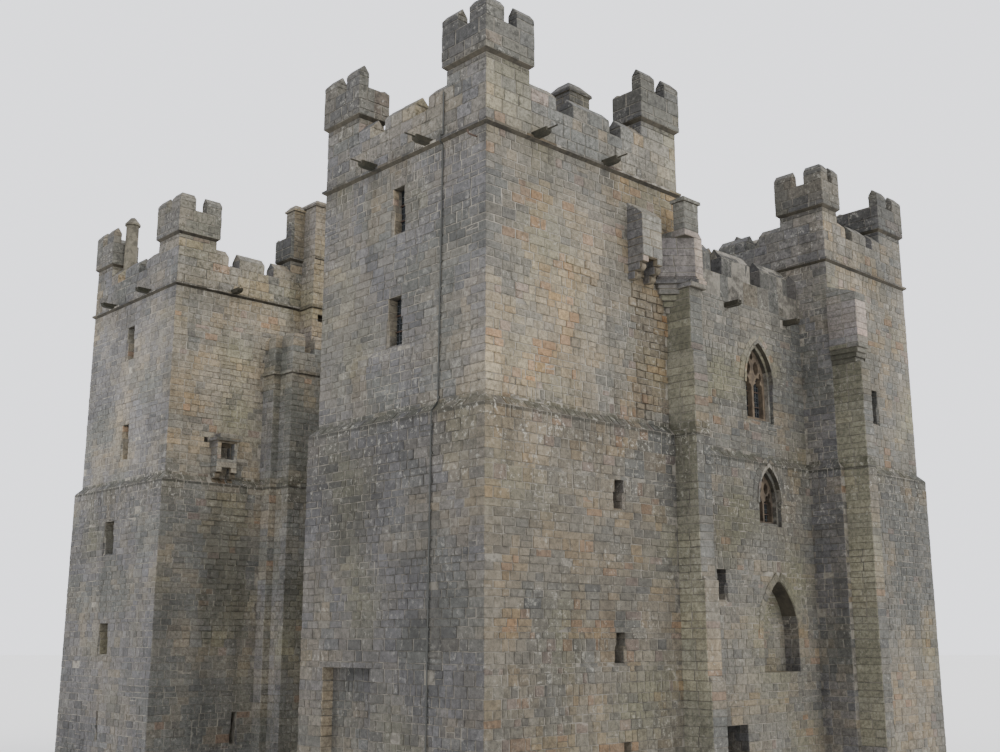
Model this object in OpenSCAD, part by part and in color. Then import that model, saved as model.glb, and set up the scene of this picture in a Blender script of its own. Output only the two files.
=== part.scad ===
// Castle keep: four square corner towers around a lower hall block,
// crenellated turrets, box machicolations, piers and tracery windows.
// All sizes in millimetres, z = 0 at the ground.

/* [Plan] */
// overall size along X of the whole keep
plan_x = 21730; // [20000:23000]
// overall size along Y of the whole keep
plan_y = 25200; // [23000:27000]
// near tower size along X
near_w = 7750; // [7000:8400]
// depth along Y of the two front towers, from y = 0
front_d = 7060; // [6600:7600]
// inset of the left tower from the near tower's outer line
left_in = 1110; // [600:1600]
// depth along Y of the two rear towers
rear_d = 6880; // [6200:7200]
// size along X of the two narrow towers on the right
slim_w = 5390; // [5000:5800]
// inset of the right tower's front from the near tower's front
right_in = 240; // [0:600]
// recess of the hall front behind the near tower's front
hall_in = 1460; // [1000:1900]

/* [Walls] */
// wall thickness of the broad towers
wall_t = 1500; // [1100:1900]
// wall thickness of the slim towers
slim_t = 1300; // [1000:1600]
// wall thickness of the hall
hall_t = 1600; // [1200:2000]
// how far the lower stage stands proud
set_p = 200; // [100:300]
// height of the underside of the set-off slope
set_z = 10960; // [10000:12000]
// height of the set-off slope
set_h = 220; // [120:400]
// height of the tower wall tops, at the string course
wall_z = 18400; // [17500:19500]
// string course projection
string_p = 100; // [60:180]
// string course height
string_h = 140; // [100:220]
// hall wall top, at the foot of its parapet
hall_z = 16300; // [15500:17000]

/* [Battlements] */
// parapet thickness
par_t = 550; // [400:700]
// crenel sill height above the tower wall top
sill_h = 1090; // [800:1300]
// merlon eave height above the tower wall top
eave_h = 1400; // [1200:1600]
// coping ridge height above the tower wall top
ridge_h = 1680; // [1500:1900]
// width of a crenel in the hall parapet
hall_cren_w = 600; // [450:800]
// spacing of crenels in the hall parapet
hall_pitch = 2200; // [1900:2500]
// crenel sill of the hall above its wall top
hall_sill = 850; // [600:1100]
// merlon eave of the hall above its wall top
hall_eave = 1400; // [1200:1600]
// coping ridge of the hall above its wall top
hall_ridge = 1750; // [1500:1900]

/* [Corner turrets] */
// side of the square turret on the outermost corner
tur_s = 1560; // [1350:1800]
// length of an oblong turret along the wall it faces
tur_l = 1550; // [1350:1800]
// depth of an oblong turret
tur_d = 900; // [780:1100]
// overhang of the turret crown
tur_o = 100; // [60:180]
// top of the turret shaft above the tower wall top
tur_h = 2030; // [1700:2400]
// crown parapet thickness
crown_t = 330; // [250:420]
// crown crenel sill above the shaft top
crown_sill = 910; // [700:1100]
// crown merlon eave above the shaft top
crown_eave = 1290; // [1150:1400]
// crown coping ridge above the shaft top
crown_ridge = 1500; // [1350:1650]
// share of a crown's side taken by its crenel
crown_cren = 0.27; // [0.2:0.36]
// side of the flues that rise from the towers
flue_w = 560; // [480:700]

/* [Floors and roofs] */
// floor slab thickness
floor_t = 300; // [200:400]
// top of the first floor
floor_a = 3600; // [3000:4200]
// top of the second floor in the towers
floor_b = 7600; // [7000:8100]
// top of the third floor in the towers
floor_c = 11400; // [11000:11900]
// top of the fourth floor in the towers
floor_d = 15200; // [14600:15700]
// top of the second floor in the hall
hall_floor_b = 8200; // [7600:8700]
// top of the third floor in the hall
hall_floor_c = 11700; // [11300:12100]
// rise of the tower roofs
roof_rise = 500; // [300:900]
// rise of the hall roof
hall_rise = 1050; // [700:1300]
// roof shell thickness
roof_t = 200; // [120:300]

/* [Windows] */
// bevel around every opening
win_bevel = 60; // [20:100]
// depth of the straight outer reveal
win_reveal = 420; // [250:600]
// extra width of the inner splay
win_splay = 620; // [200:900]
// glass thickness
glass_t = 20; // [10:30]
// near side of the blocked doorway in the near tower's left face
blind_y = 4060; // [3900:4200]
// width of the blocked doorway
blind_w = 2140; // [1900:2400]
// foot of the blocked doorway
blind_z = 1200; // [900:1500]
// height of the blocked doorway
blind_h = 3400; // [3000:3700]
// depth of the glass behind the wall face
glass_in = 300; // [150:380]

/* [Tracery windows] */
// clear width of the upper tracery window
trac_w = 1350; // [1200:1800]
// sill height of the upper tracery window
trac_sill = 12460; // [12100:12800]
// spring height above the sill
trac_spring = 1290; // [1200:1700]
// stone thickness of the tracery
trac_t = 180; // [120:240]
// width of the tracery ribs
trac_rib = 110; // [80:150]
// clear width of the lower tracery window
low_w = 1060; // [900:1300]
// sill height of the lower tracery window
low_sill = 9000; // [8700:9300]
// spring height above the sill of the lower window
low_spring = 760; // [600:900]
// clear width of the great blind arch
arch_w = 2000; // [1700:2300]
// sill height of the great blind arch
arch_sill = 4300; // [4000:4600]
// spring height of the great blind arch
arch_spring = 5450; // [5000:5700]
// centre line of the two tracery windows
hall_c = 13730; // [13500:14100]
// centre line of the great blind arch
arch_c = 14000; // [13700:14300]
// centre line of the ground doorway
door_c = 11400; // [11000:11800]
// width of the ground doorway
door_w = 1200; // [1000:1400]
// height of the ground doorway
door_h = 2800; // [2400:3100]

/* [Piers and small towers] */
// pier width
pier_w = 520; // [400:700]
// pier projection from the near tower's front line
pier_p = 860; // [600:1100]
// height of the pier's weathered shoulder
pier_z = 14500; // [14000:15000]
// width of the closet on the near pier
closet_w = 1100; // [950:1250]
// underside of the closet
closet_z = 15200; // [14900:15400]
// height of the closet
closet_h = 1520; // [1350:1700]
// width of the vent stack on the closet
vent_w = 630; // [520:700]
// height of the vent stack
vent_h = 1030; // [850:1200]
// projection of the piers beside the hall
side_p = 1090; // [950:1200]
// underside of the heads of those piers
side_z = 15000; // [14800:15200]
// height of the heads of those piers
side_h = 1900; // [1600:2200]
// size of the rounded stair turret beside the left tower
stair_w = 1150; // [900:1300]
// projection of the stair turret from the left tower
stair_p = 870; // [700:1100]
// top of the tall stack above the stair turret
stack_z = 22550; // [21800:23200]
// how far the stack reaches back over the left tower
stack_in = 600; // [500:700]
// string height of the low battlemented turret
lat_z = 15440; // [14900:16000]
// width of the low turret from the hall's side wall
lat_w = 2700; // [2500:2900]
// step in the plan of the low turret
lat_step = 300; // [200:400]
// projection of the low turret from the left tower
lat_p = 1520; // [1350:1700]
// depth of the low turret's front part
lat_n = 800; // [650:950]

/* [Machicolations] */
// box width
mach_w = 820; // [700:1000]
// box projection
mach_p = 560; // [420:700]
// underside of the near box
mach_z = 15660; // [15300:16000]
// height of the near box's front
mach_h = 1390; // [1100:1600]
// underside of the ruined box on the left tower
ruin_z = 11360; // [11250:11600]
// projection of the ruined box
ruin_p = 440; // [380:520]

/* [Waterspouts] */
// length of a stone spout
spout_l = 560; // [450:650]
// length of the lead pipe beyond the stone
pipe_l = 320; // [250:400]

/* [Hidden] */
left_y = plan_y - rear_d;
slim_x = plan_x - slim_w;
hall_x0 = near_w;
hall_x1 = slim_x;
hall_y0 = hall_in;
hall_y1 = plan_y - hall_in;
set_t = set_z + set_h;
near_r = [0, 0, near_w, front_d];
left_r = [left_in, left_y, near_w - left_in, rear_d];
right_r = [slim_x, right_in, slim_w, front_d - right_in];
back_r = [slim_x, left_y, slim_w, rear_d];
towers = [near_r, left_r, right_r, back_r];
hall_r = [hall_x0, hall_y0, hall_x1 - hall_x0, hall_y1 - hall_y0];
shaft_z = wall_z + tur_h;
stair_x = near_w - stair_w;
stair_y = left_y - stair_p;
stack_y = left_y + stack_in;
near_mach_x = near_w - 2290;
left_mach_x = left_in + 1820;
org_x = plan_x / 2;
org_y = plan_y / 2;

// window rows: [face, position along the face, sill, width, height]
near_low = [
    ["-y", 4625, 8680, 390, 780],
    ["-y", 4555, 4720, 370, 780],
    ["-y", 4745, 1980, 310, 800],
    ["+y", 4400, 4770, 500, 1100]];
near_up = [
    ["-x", 3555, 16220, 510, 1320],
    ["-x", 3640, 13050, 580, 1350],
    ["+y", 3200, 12040, 500, 1300]];
left_low = [
    ["-x", 22070, 8450, 750, 1230],
    ["-x", 21950, 4770, 700, 1130],
    ["-x", 21970, 1730, 150, 1030],
    ["-y", 4290, 1650, 220, 1110],
    ["+y", 4700, 8450, 400, 800],
    ["+y", 4700, 4770, 400, 800]];
left_up = [
    ["-x", 21800, 16000, 600, 1300],
    ["-x", 21700, 12040, 540, 1340],
    ["+y", 4600, 16000, 500, 1200],
    ["+y", 4600, 12040, 500, 1200]];
right_low = [
    ["+x", 3600, 8680, 450, 900],
    ["+x", 3600, 4770, 450, 900]];
right_up = [
    ["+x", 3600, 16100, 500, 1300],
    ["+x", 3600, 12800, 500, 1300],
    ["-y", 19000, 12800, 450, 1200]];
back_low = [
    ["+x", 21700, 8450, 450, 900],
    ["+x", 21700, 4770, 450, 900],
    ["+y", 19000, 8450, 400, 800]];
back_up = [
    ["+x", 21700, 16100, 500, 1300],
    ["+x", 21700, 12800, 500, 1300],
    ["+y", 19000, 12800, 450, 1200]];
hall_front_rect = [["-y", 10950, 6490, 460, 940]];
hall_side_low = [
    ["-x", 10500, 4770, 450, 900],
    ["-x", 14200, 4770, 450, 900],
    ["-x", 10500, 8900, 450, 1100],
    ["+x", 10500, 4770, 450, 900],
    ["+x", 14200, 4770, 450, 900],
    ["+x", 10500, 8900, 450, 1100],
    ["+x", 14200, 8900, 450, 1100]];
hall_side_up = [
    ["-x", 10500, 12800, 450, 1200],
    ["-x", 14200, 12800, 450, 1200],
    ["+x", 10500, 12800, 450, 1200],
    ["+x", 14200, 12800, 450, 1200]];

// turrets of a tower as [along X, along Y]: front left, front right, back right, back left
near_t = [[tur_s, tur_s], [tur_l, tur_d], [tur_l, tur_d], [tur_d, tur_l]];
left_t = [[tur_s, tur_s], [tur_l + 150, tur_d], [tur_l, tur_d], [tur_d, tur_l - 250]];
right_t = [[tur_d, tur_l + 200], [tur_s, tur_s], [tur_d, tur_l], [0, 0]];
back_t = [[0, 0], [tur_d, tur_l], [tur_s, tur_s], [tur_d, tur_l + 200]];

// crenels of a tower as shares of each run: front, right, back, left
usual = [[0.18, 0.34], [0.66, 0.82]];
near_c = [[[0.218, 0.371], [0.69, 0.8]], usual, usual, [[0.19, 0.342], [0.681, 0.858]]];
left_c = [[[0.166, 0.311], [0.642, 0.772]], usual, usual, [[0.242, 0.403], [0.69, 0.86]]];
right_c = [usual, usual, usual, [[0.185, 0.298], [0.544, 0.673]]];
back_c = [usual, usual, usual, [[0.327, 0.456], [0.702, 0.815]]];

// box from one corner to the other
module block(a, b) {
    translate(a) cube(b - a);
}

// right-angled block that narrows by g on every side on its way up
module frustum(x0, y0, x1, y1, g, z0, z1) {
    intersection() {
        translate([0, y1, 0]) rotate([90, 0, 0]) linear_extrude(y1 - y0)
            polygon([[x0, z0], [x1, z0], [x1 - g, z1], [x0 + g, z1]]);
        translate([x0, 0, 0]) rotate([90, 0, 90]) linear_extrude(x1 - x0)
            polygon([[y0, z0], [y1, z0], [y1 - g, z1], [y0 + g, z1]]);
    }
}

// prism along X from a profile drawn in Y and Z
module along_x(x0, x1, pts) {
    translate([x0, 0, 0]) rotate([90, 0, 90]) linear_extrude(x1 - x0) polygon(pts);
}

// prism along Y from a profile drawn in X and Z
module along_y(y0, y1, pts) {
    translate([0, y1, 0]) rotate([90, 0, 0]) linear_extrude(y1 - y0) polygon(pts);
}

// the hall's plan as a tall block, grown by g
module hall_block(g, z0, z1) {
    block([hall_x0 - g, hall_y0 - g, z0], [hall_x1 + g, hall_y1 + g, z1]);
}

// places a cutter drawn for a front wall on the named face of a rectangle
module on_face(r, face, pos) {
    if (face == "-y") translate([pos, r[1], 0]) children();
    if (face == "+y") translate([pos, r[1] + r[3], 0]) rotate(180) children();
    if (face == "-x") translate([r[0], pos, 0]) rotate(-90) children();
    if (face == "+x") translate([r[0] + r[2], pos, 0]) rotate(90) children();
}

// full outer body of a tower without its rooms, for seating what stands against it
module tower_skin(r) {
    x1 = r[0] + r[2];
    y1 = r[1] + r[3];
    block([r[0] - set_p, r[1] - set_p, -2], [x1 + set_p, y1 + set_p, set_z]);
    frustum(r[0] - set_p, r[1] - set_p, x1 + set_p, y1 + set_p, set_p, set_z, set_t);
    block([r[0], r[1], set_z], [x1, y1, wall_z]);
    string_band(r, wall_z, string_p, string_h);
}

// opening with an outer bevel, a straight reveal and an inner splay
module window_cut(sill, w, h, g, t) {
    b = min(win_bevel, w / 4);
    translate([0, 0, sill]) {
        translate([-w / 2, -g - 1, 0]) cube([w, win_reveal + g + 2, h]);
        intersection() {
            along_y(-g - 1, b - g, [[-w / 2 - b, -b], [w / 2 + b, -b],
                [w / 2 + b, h + b], [-w / 2 - b, h + b]]);
            linear_extrude(h + 2 * b + 2, center = true) polygon([[-w / 2 - b, -g],
                [-w / 2 - b, -g - 1], [w / 2 + b, -g - 1], [w / 2 + b, -g],
                [w / 2, b - g], [-w / 2, b - g]]);
            along_x(-w / 2 - b, w / 2 + b, [[-g - 1, -b], [-g, -b], [b - g, 0],
                [b - g, h], [-g, h + b], [-g - 1, h + b]]);
        }
        linear_extrude(h) polygon([[-w / 2, win_reveal], [w / 2, win_reveal],
            [w / 2 + win_splay / 2, t + 1], [-w / 2 - win_splay / 2, t + 1]]);
    }
}

// all the windows of one list, g being how far the wall stands proud
module windows_cut(r, rows, g, t) {
    for (w = rows) on_face(r, w[0], w[1]) window_cut(w[2], w[3], w[4], g, t);
}

// glass of one list
module windows_glass(r, rows) {
    for (w = rows) on_face(r, w[0], w[1])
        translate([-w[3] / 2, glass_in, w[2]]) cube([w[3], glass_t, w[4]]);
}

// lower stage of a tower with its weathered set-off
module lower_walls(r, t, rows) {
    x1 = r[0] + r[2];
    y1 = r[1] + r[3];
    difference() {
        union() {
            block([r[0] - set_p, r[1] - set_p, 0], [x1 + set_p, y1 + set_p, set_z]);
            frustum(r[0] - set_p, r[1] - set_p, x1 + set_p, y1 + set_p, set_p, set_z, set_t);
        }
        hall_block(0, -1, set_t + 1);
        block([r[0] + t, r[1] + t, -1], [x1 - t, y1 - t, set_t + 1]);
        windows_cut(r, rows, set_p, t);
    }
}

// string course round a rectangle, its top at z, with a bevelled underside
module string_band(r, z, p, h) {
    x1 = r[0] + r[2];
    y1 = r[1] + r[3];
    block([r[0] - p, r[1] - p, z - h / 2], [x1 + p, y1 + p, z]);
    mirror([0, 0, 1]) frustum(r[0] - p, r[1] - p, x1 + p, y1 + p, p, h / 2 - z, h - z);
}

// upper stage of a tower up to the string course
module upper_walls(r, t, rows) {
    x1 = r[0] + r[2];
    y1 = r[1] + r[3];
    difference() {
        union() {
            block([r[0], r[1], set_t], [x1, y1, wall_z]);
            string_band(r, wall_z, string_p, string_h);
        }
        block([r[0] + t, r[1] + t, set_t - 1], [x1 - t, y1 - t, wall_z + 1]);
        windows_cut(r, rows, 0, t);
    }
}

// crenel positions between a and b from their shares
function spread(a, b, c) = [for (k = c) [a + (b - a) * k[0], a + (b - a) * k[1]]];

// low wall along X with a ridged top, its outer face at y = 0
module sill_run(a, b, t, z0, zs) {
    along_x(a, b, [[0, z0], [t, z0], [t, zs - 60], [t / 2, zs], [0, zs - 60]]);
}

// saddleback coping along X, hipped at its start where hip is 1
module coping(x0, x1, t, ze, zr, hip) {
    intersection() {
        along_x(x0, x1, [[0, ze], [t, ze], [t / 2, zr]]);
        along_y(-1, t + 1, [[x0, ze], [x0 + hip * t / 2, zr], [x1, zr], [x1, ze]]);
    }
}

// parapet along X from a to b, crenels in the list [start, end]
module parapet_run(a, b, t, cr, z0, zs, ze, zr, hip) {
    n = len(cr);
    sill_run(a, b, t, z0, zs);
    for (i = [0 : n]) {
        x0 = i == 0 ? a : cr[i - 1][1];
        x1 = i == n ? b : cr[i][0];
        block([x0, 0, zs - 80], [x1, t, ze]);
        coping(x0, x1, t, ze, zr, i == 0 ? hip : 0);
    }
}

// crown of a turret: merlons on its two outer sides, low walls on the inner ones
module crown(a, b) {
    h = crown_cren / 2;
    parapet_run(0, a, crown_t, [[a * (0.5 - h), a * (0.5 + h)]], 60, crown_sill, crown_eave,
        crown_ridge, 1);
    mirror([1, -1, 0]) parapet_run(0, b, crown_t, [[b * (0.5 - h), b * (0.5 + h)]], 60,
        crown_sill, crown_eave, crown_ridge, 1);
    translate([0, b, 0]) mirror([0, 1, 0]) sill_run(0, a, crown_t, 60, crown_sill);
    translate([a, 0, 0]) mirror([1, 0, 0]) mirror([1, -1, 0]) sill_run(0, b, crown_t, 60, crown_sill);
}

// corner turret of size s, its outer corner at the origin
module corner_turret(s) {
    a = s[0] + 2 * tur_o;
    b = s[1] + 2 * tur_o;
    block([0, 0, wall_z], [s[0], s[1], shaft_z - 150]);
    translate([-tur_o, -tur_o, shaft_z]) {
        mirror([0, 0, 1]) frustum(0, 0, a, b, tur_o, 60, 150);
        block([0, 0, -60], [a, b, 60]);
        crown(a, b);
    }
}

// places a turret drawn for the front left corner on corner k of a rectangle
module on_corner(r, k) {
    fx = k == 1 || k == 2 ? 1 : 0;
    fy = k > 1 ? 1 : 0;
    translate([fx * r[2], fy * r[3], 0]) mirror([fx, 0, 0]) mirror([0, fy, 0]) children();
}

// one run of a tower's parapet along a side l long, rooted in turrets s0 and s1 long
module tower_run(s0, s1, l, c) {
    parapet_run(s0 - min(s0, 50), l - s1 + min(s1, 50), par_t, spread(s0, l - s1, c), wall_z,
        wall_z + sill_h, wall_z + eave_h, wall_z + ridge_h, 0);
}

// parapet of one tower with its corner turrets
module tower_parapet(r, t, c) {
    w = r[2];
    d = r[3];
    translate([r[0], r[1], 0]) {
        tower_run(t[0][0], t[1][0], w, c[0]);
        translate([w, 0, 0]) mirror([1, 0, 0]) mirror([1, -1, 0]) tower_run(t[1][1], t[2][1], d, c[1]);
        translate([0, d, 0]) mirror([0, 1, 0]) tower_run(t[3][0], t[2][0], w, c[2]);
        mirror([1, -1, 0]) tower_run(t[0][1], t[3][1], d, c[3]);
        for (k = [0 : 3]) if (t[k][0] > 0) on_corner(r, k) corner_turret(t[k]);
    }
}

// floor slabs of one tower
module tower_floors(r, t) {
    for (z = [floor_t, floor_a, floor_b, floor_c, floor_d])
        block([r[0] + t, r[1] + t, z - floor_t], [r[0] + r[2] - t, r[1] + r[3] - t, z]);
}

// low hipped shell over a rectangle
module hip(x0, y0, x1, y1, z, rise) {
    intersection() {
        along_y(y0, y1, [[x0, z], [x1, z], [(x0 + x1) / 2, z + rise]]);
        along_x(x0, x1, [[y0, z], [y1, z], [(y0 + y1) / 2, z + rise * (y1 - y0) / (x1 - x0)]]);
    }
}

// roof of one tower, inside its parapet and turrets
module tower_roof(r, t) {
    x0 = r[0] + par_t;
    y0 = r[1] + par_t;
    x1 = r[0] + r[2] - par_t;
    y1 = r[1] + r[3] - par_t;
    difference() {
        union() {
            block([x0, y0, wall_z], [x1, y1, wall_z + 120]);
            hip(x0 + 300, y0 + 300, x1 - 300, y1 - 300, wall_z + 120, roof_rise);
        }
        for (k = [0 : 3]) if (t[k][0] > 0) translate([r[0], r[1], 0]) on_corner(r, k)
            block([-1, -1, wall_z - 1], [t[k][0], t[k][1], shaft_z]);
    }
}

// outer mass of the hall's lower walls with the set-off, clear of the towers
module hall_mass() {
    difference() {
        union() {
            hall_block(set_p, 0, set_z);
            frustum(hall_x0 - set_p, hall_y0 - set_p, hall_x1 + set_p, hall_y1 + set_p, set_p,
                set_z, set_t);
            hall_block(0, set_z, hall_z);
        }
        for (r = towers) difference() {
            block([r[0] - set_p, r[1] - set_p, -1], [r[0] + r[2] + set_p, r[1] + r[3] + set_p,
                hall_z + 1]);
            hall_block(0, -2, hall_z + 2);
        }
    }
}

// pointed arch outline, w wide, springing at z
module pointed(w, z) {
    square_w = w / 2;
    translate([-square_w, 0]) square([w, z]);
    translate([0, z]) intersection() {
        translate([-square_w, 0]) circle(r = w, $fn = 96);
        translate([square_w, 0]) circle(r = w, $fn = 96);
        translate([-square_w, 0]) square([w, w]);
    }
}

// pointed opening through a wall t thick, in the front wall's own frame
module pointed_cut(w, sill, spring, g, t) {
    translate([0, t + 1, sill]) rotate([90, 0, 0]) linear_extrude(t + g + 2) pointed(w, spring);
    translate([0, 120 - g, sill - 90]) rotate([90, 0, 0]) linear_extrude(121)
        pointed(w + 180, spring + 90);
}

// moulding that throws the rain off a pointed head, g proud of the hall's face
module hood(w, sill, spring, g) {
    translate([0, -g, sill]) rotate([90, 0, 0]) linear_extrude(50) difference() {
        pointed(w + 330, spring);
        pointed(w + 180, spring);
        translate([-w, 0]) square([2 * w, spring - 120]);
    }
}

// openings of the front and rear hall walls
module hall_end_cuts() {
    translate([hall_c, hall_y0, 0]) pointed_cut(trac_w, trac_sill, trac_spring, 0, hall_t);
    translate([hall_c, hall_y0, 0]) pointed_cut(low_w, low_sill, low_spring, set_p, hall_t);
    translate([arch_c, hall_y0 + 350, arch_sill]) rotate([90, 0, 0]) linear_extrude(351 + set_p)
        pointed(arch_w, arch_spring - arch_sill);
    translate([door_c - door_w / 2, hall_y0 - set_p - 1, 0])
        cube([door_w, hall_t + set_p + 2, door_h]);
    windows_cut(hall_r, hall_front_rect, set_p, hall_t);
}

module hall_front_body() {
    difference() {
        union() {
            intersection() {
                hall_mass();
                block([hall_x0 - set_p, 0, 0], [hall_x1 + set_p, hall_y0 + hall_t, hall_z]);
            }
            translate([hall_c, hall_y0, 0]) hood(trac_w, trac_sill, trac_spring, 0);
            translate([hall_c, hall_y0, 0]) hood(low_w, low_sill, low_spring, set_p);
        }
        hall_end_cuts();
    }
}

// blocked doorway in the near tower's left face
module blind_doorway() {
    block([-set_p - 1, blind_y, blind_z], [150, blind_y + blind_w, blind_z + blind_h]);
}

// deep square hole left by the masons' scaffold, in the left tower's front
module scaffold_hole() {
    x = left_mach_x - 330;
    z = ruin_z + 1120;
    block([x, left_y - 1, z], [x + 180, left_y + 400, z + 180]);
}

module near_lower_walls() { color("#8f8674") difference() {
    lower_walls(near_r, wall_t, near_low);
    blind_doorway();
} }
module near_upper_walls() { color("#9a8f79") upper_walls(near_r, wall_t, near_up); }
module near_parapet() { color("#7d776b") tower_parapet(near_r, near_t, near_c); }
module near_floors() { color("#86705a") tower_floors(near_r, wall_t); }
module near_roof() { color("#6d7075") tower_roof(near_r, near_t); }
module left_lower_walls() { color("#8f8674") lower_walls(left_r, slim_t, left_low); }
module left_upper_walls() { color("#9a8f79") difference() {
    upper_walls(left_r, slim_t, left_up);
    scaffold_hole();
} }
module left_parapet() { color("#7d776b") difference() {
    tower_parapet(left_r, left_t, left_c);
    stack_zone();
    left_flue();
} }
module left_floors() { color("#86705a") tower_floors(left_r, slim_t); }
module left_roof() { color("#6d7075") difference() {
    tower_roof(left_r, left_t);
    stack_zone();
} }
module right_lower_walls() { color("#8f8674") lower_walls(right_r, slim_t, right_low); }
module right_upper_walls() { color("#9a8f79") upper_walls(right_r, slim_t, right_up); }
module right_parapet() { color("#7d776b") tower_parapet(right_r, right_t, right_c); }
module right_floors() { color("#86705a") tower_floors(right_r, slim_t); }
module right_roof() { color("#6d7075") tower_roof(right_r, right_t); }
module back_lower_walls() { color("#8f8674") lower_walls(back_r, slim_t, back_low); }
module back_upper_walls() { color("#9a8f79") upper_walls(back_r, slim_t, back_up); }
module back_parapet() { color("#7d776b") tower_parapet(back_r, back_t, back_c); }
module back_floors() { color("#86705a") tower_floors(back_r, slim_t); }
module back_roof() { color("#6d7075") tower_roof(back_r, back_t); }

module hall_front_wall() { color("#948a76") hall_front_body(); }
module hall_back_wall() {
    color("#948a76") translate([0, plan_y, 0]) mirror([0, 1, 0]) hall_front_body();
}

// side wall of the hall between its end walls
module side_wall(x0, x1) {
    difference() {
        intersection() {
            hall_mass();
            block([x0, hall_y0 + hall_t, 0], [x1, hall_y1 - hall_t, hall_z]);
        }
        windows_cut(hall_r, hall_side_low, set_p, hall_t);
        windows_cut(hall_r, hall_side_up, 0, hall_t);
    }
}
module hall_left_wall() { color("#8a826f") side_wall(hall_x0 - set_p, hall_x0 + hall_t); }
module hall_right_wall() { color("#8a826f") side_wall(hall_x1 - hall_t, hall_x1 + set_p); }

// one run of the hall's parapet: crenels at an even pitch, the last merlon at least spare long
module hall_run(a, b, first, spare) {
    n = floor((b - a - first - hall_cren_w - spare) / hall_pitch);
    parapet_run(a, b, par_t, [for (i = [0 : n]) [a + first + i * hall_pitch,
        a + first + i * hall_pitch + hall_cren_w]], hall_z, hall_z + hall_sill,
        hall_z + hall_eave, hall_z + hall_ridge, 0);
}

// parapets of the hall, one solid on each side
module hall_parapets() {
    color("#7d776b") {
        translate([0, hall_y0, 0]) hall_run(hall_x0, hall_x1, 1350, 0);
        translate([0, hall_y1, 0]) mirror([0, 1, 0]) hall_run(hall_x0, hall_x1, 1350, 0);
        translate([hall_x0, 0, 0]) mirror([1, -1, 0]) hall_run(front_d, stair_y, 900, 300);
        translate([hall_x1, 0, 0]) rotate(90) hall_run(front_d, left_y, 900, 300);
    }
}

module hall_floors() {
    color("#86705a") for (z = [floor_t, floor_a, hall_floor_b, hall_floor_c])
        block([hall_x0 + hall_t, hall_y0 + hall_t, z - floor_t],
            [hall_x1 - hall_t, hall_y1 - hall_t, z]);
}

module hall_roof() {
    xa = hall_x0 + par_t;
    xb = hall_x1 - par_t;
    ya = hall_y0 + par_t;
    yb = hall_y1 - par_t;
    m = (xa + xb) / 2;
    color("#6d7075") difference() {
        union() {
            block([xa, ya, hall_z], [xb, yb, hall_z + 120]);
            block([hall_x0, ya, hall_z], [xb, front_d, hall_z + 120]);
            block([hall_x0, left_y, hall_z], [xb, yb, hall_z + 120]);
            block([xa, ya, hall_z], [hall_x1, front_d, hall_z + 120]);
            block([xa, left_y, hall_z], [hall_x1, yb, hall_z + 120]);
            along_y(ya + 400, yb - 400, [[xa + 400, hall_z + 119], [xb - 400, hall_z + 119],
                [m, hall_z + 120 + hall_rise]]);
        }
        along_y(ya + 600, yb - 600, [[xa + 1100, hall_z - 1], [xb - 1100, hall_z - 1],
            [m, hall_z + hall_rise - roof_t]]);
    }
}

// light with a three-lobed head
module cusped_light(w, z) {
    translate([-w / 2, 0]) square([w, z]);
    translate([-w / 4, z]) square([w / 2, w * 0.35]);
    for (s = [-1, 1]) translate([s * w * 0.23, z]) circle(r = w * 0.27, $fn = 40);
    translate([0, z + w * 0.42]) circle(r = w * 0.27, $fn = 40);
}

// almond-shaped opening about its centre
module almond(w, h) {
    r = (h * h + w * w) / (4 * w);
    intersection() {
        translate([r - w / 2, 0]) circle(r = r, $fn = 120);
        translate([w / 2 - r, 0]) circle(r = r, $fn = 120);
    }
}

// tracery of one pointed window: two cusped lights, two almonds and an eye over them
module tracery(w, sill, spring, t, rib) {
    lw = (w - rib * 3) / 2;
    translate([0, 260 + t, sill]) rotate([90, 0, 0]) linear_extrude(t) difference() {
        pointed(w, spring);
        for (s = [-1, 1]) {
            translate([s * (lw + rib) / 2, rib]) cusped_light(lw, spring - rib * 2.4);
            translate([s * w * 0.165, spring + w * 0.38]) almond(w * 0.21, w * 0.38);
        }
        translate([0, spring + w * 0.67]) almond(w * 0.1, w * 0.2);
        for (s = [-1, 1]) translate([s * w * 0.335, spring + w * 0.17]) almond(w * 0.1, w * 0.22);
    }
}
module hall_tracery() {
    translate([hall_c, hall_y0, 0]) tracery(trac_w, trac_sill, trac_spring, trac_t, trac_rib);
    translate([hall_c, hall_y0 - set_p, 0]) tracery(low_w, low_sill, low_spring, trac_t,
        trac_rib * 0.7);
}
module front_tracery() { color("#a39880") hall_tracery(); }
module back_tracery() {
    color("#a39880") translate([0, plan_y, 0]) mirror([0, 1, 0]) hall_tracery();
}

// pier with three set-offs and a sloped shoulder, its back at y
module pier_body(x, y) {
    steps = [[0, 1150], [4250, 1050], [6900, 950], [13260, pier_p]];
    for (i = [0 : 3]) {
        zt = i == 3 ? pier_z : steps[i + 1][0];
        p = steps[i][1];
        block([x - (i < 3 ? 40 : 0), y - p, steps[i][0]], [x + pier_w + (i < 3 ? 40 : 0), y, zt]);
        if (i < 3) along_x(x, x + pier_w, [[y - p, zt], [y, zt], [y, zt + 200],
            [y - p + 100, zt + 110]]);
    }
}

// plan of the closet with its front corner cut off aslant, grown by g
module closet_plan(g) {
    x = near_w - closet_w - g;
    p = pier_p + g;
    polygon([[x, 0], [x, -p * 0.12], [x + p * 0.88, -p], [near_w, -p], [near_w, 0]]);
}

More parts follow.
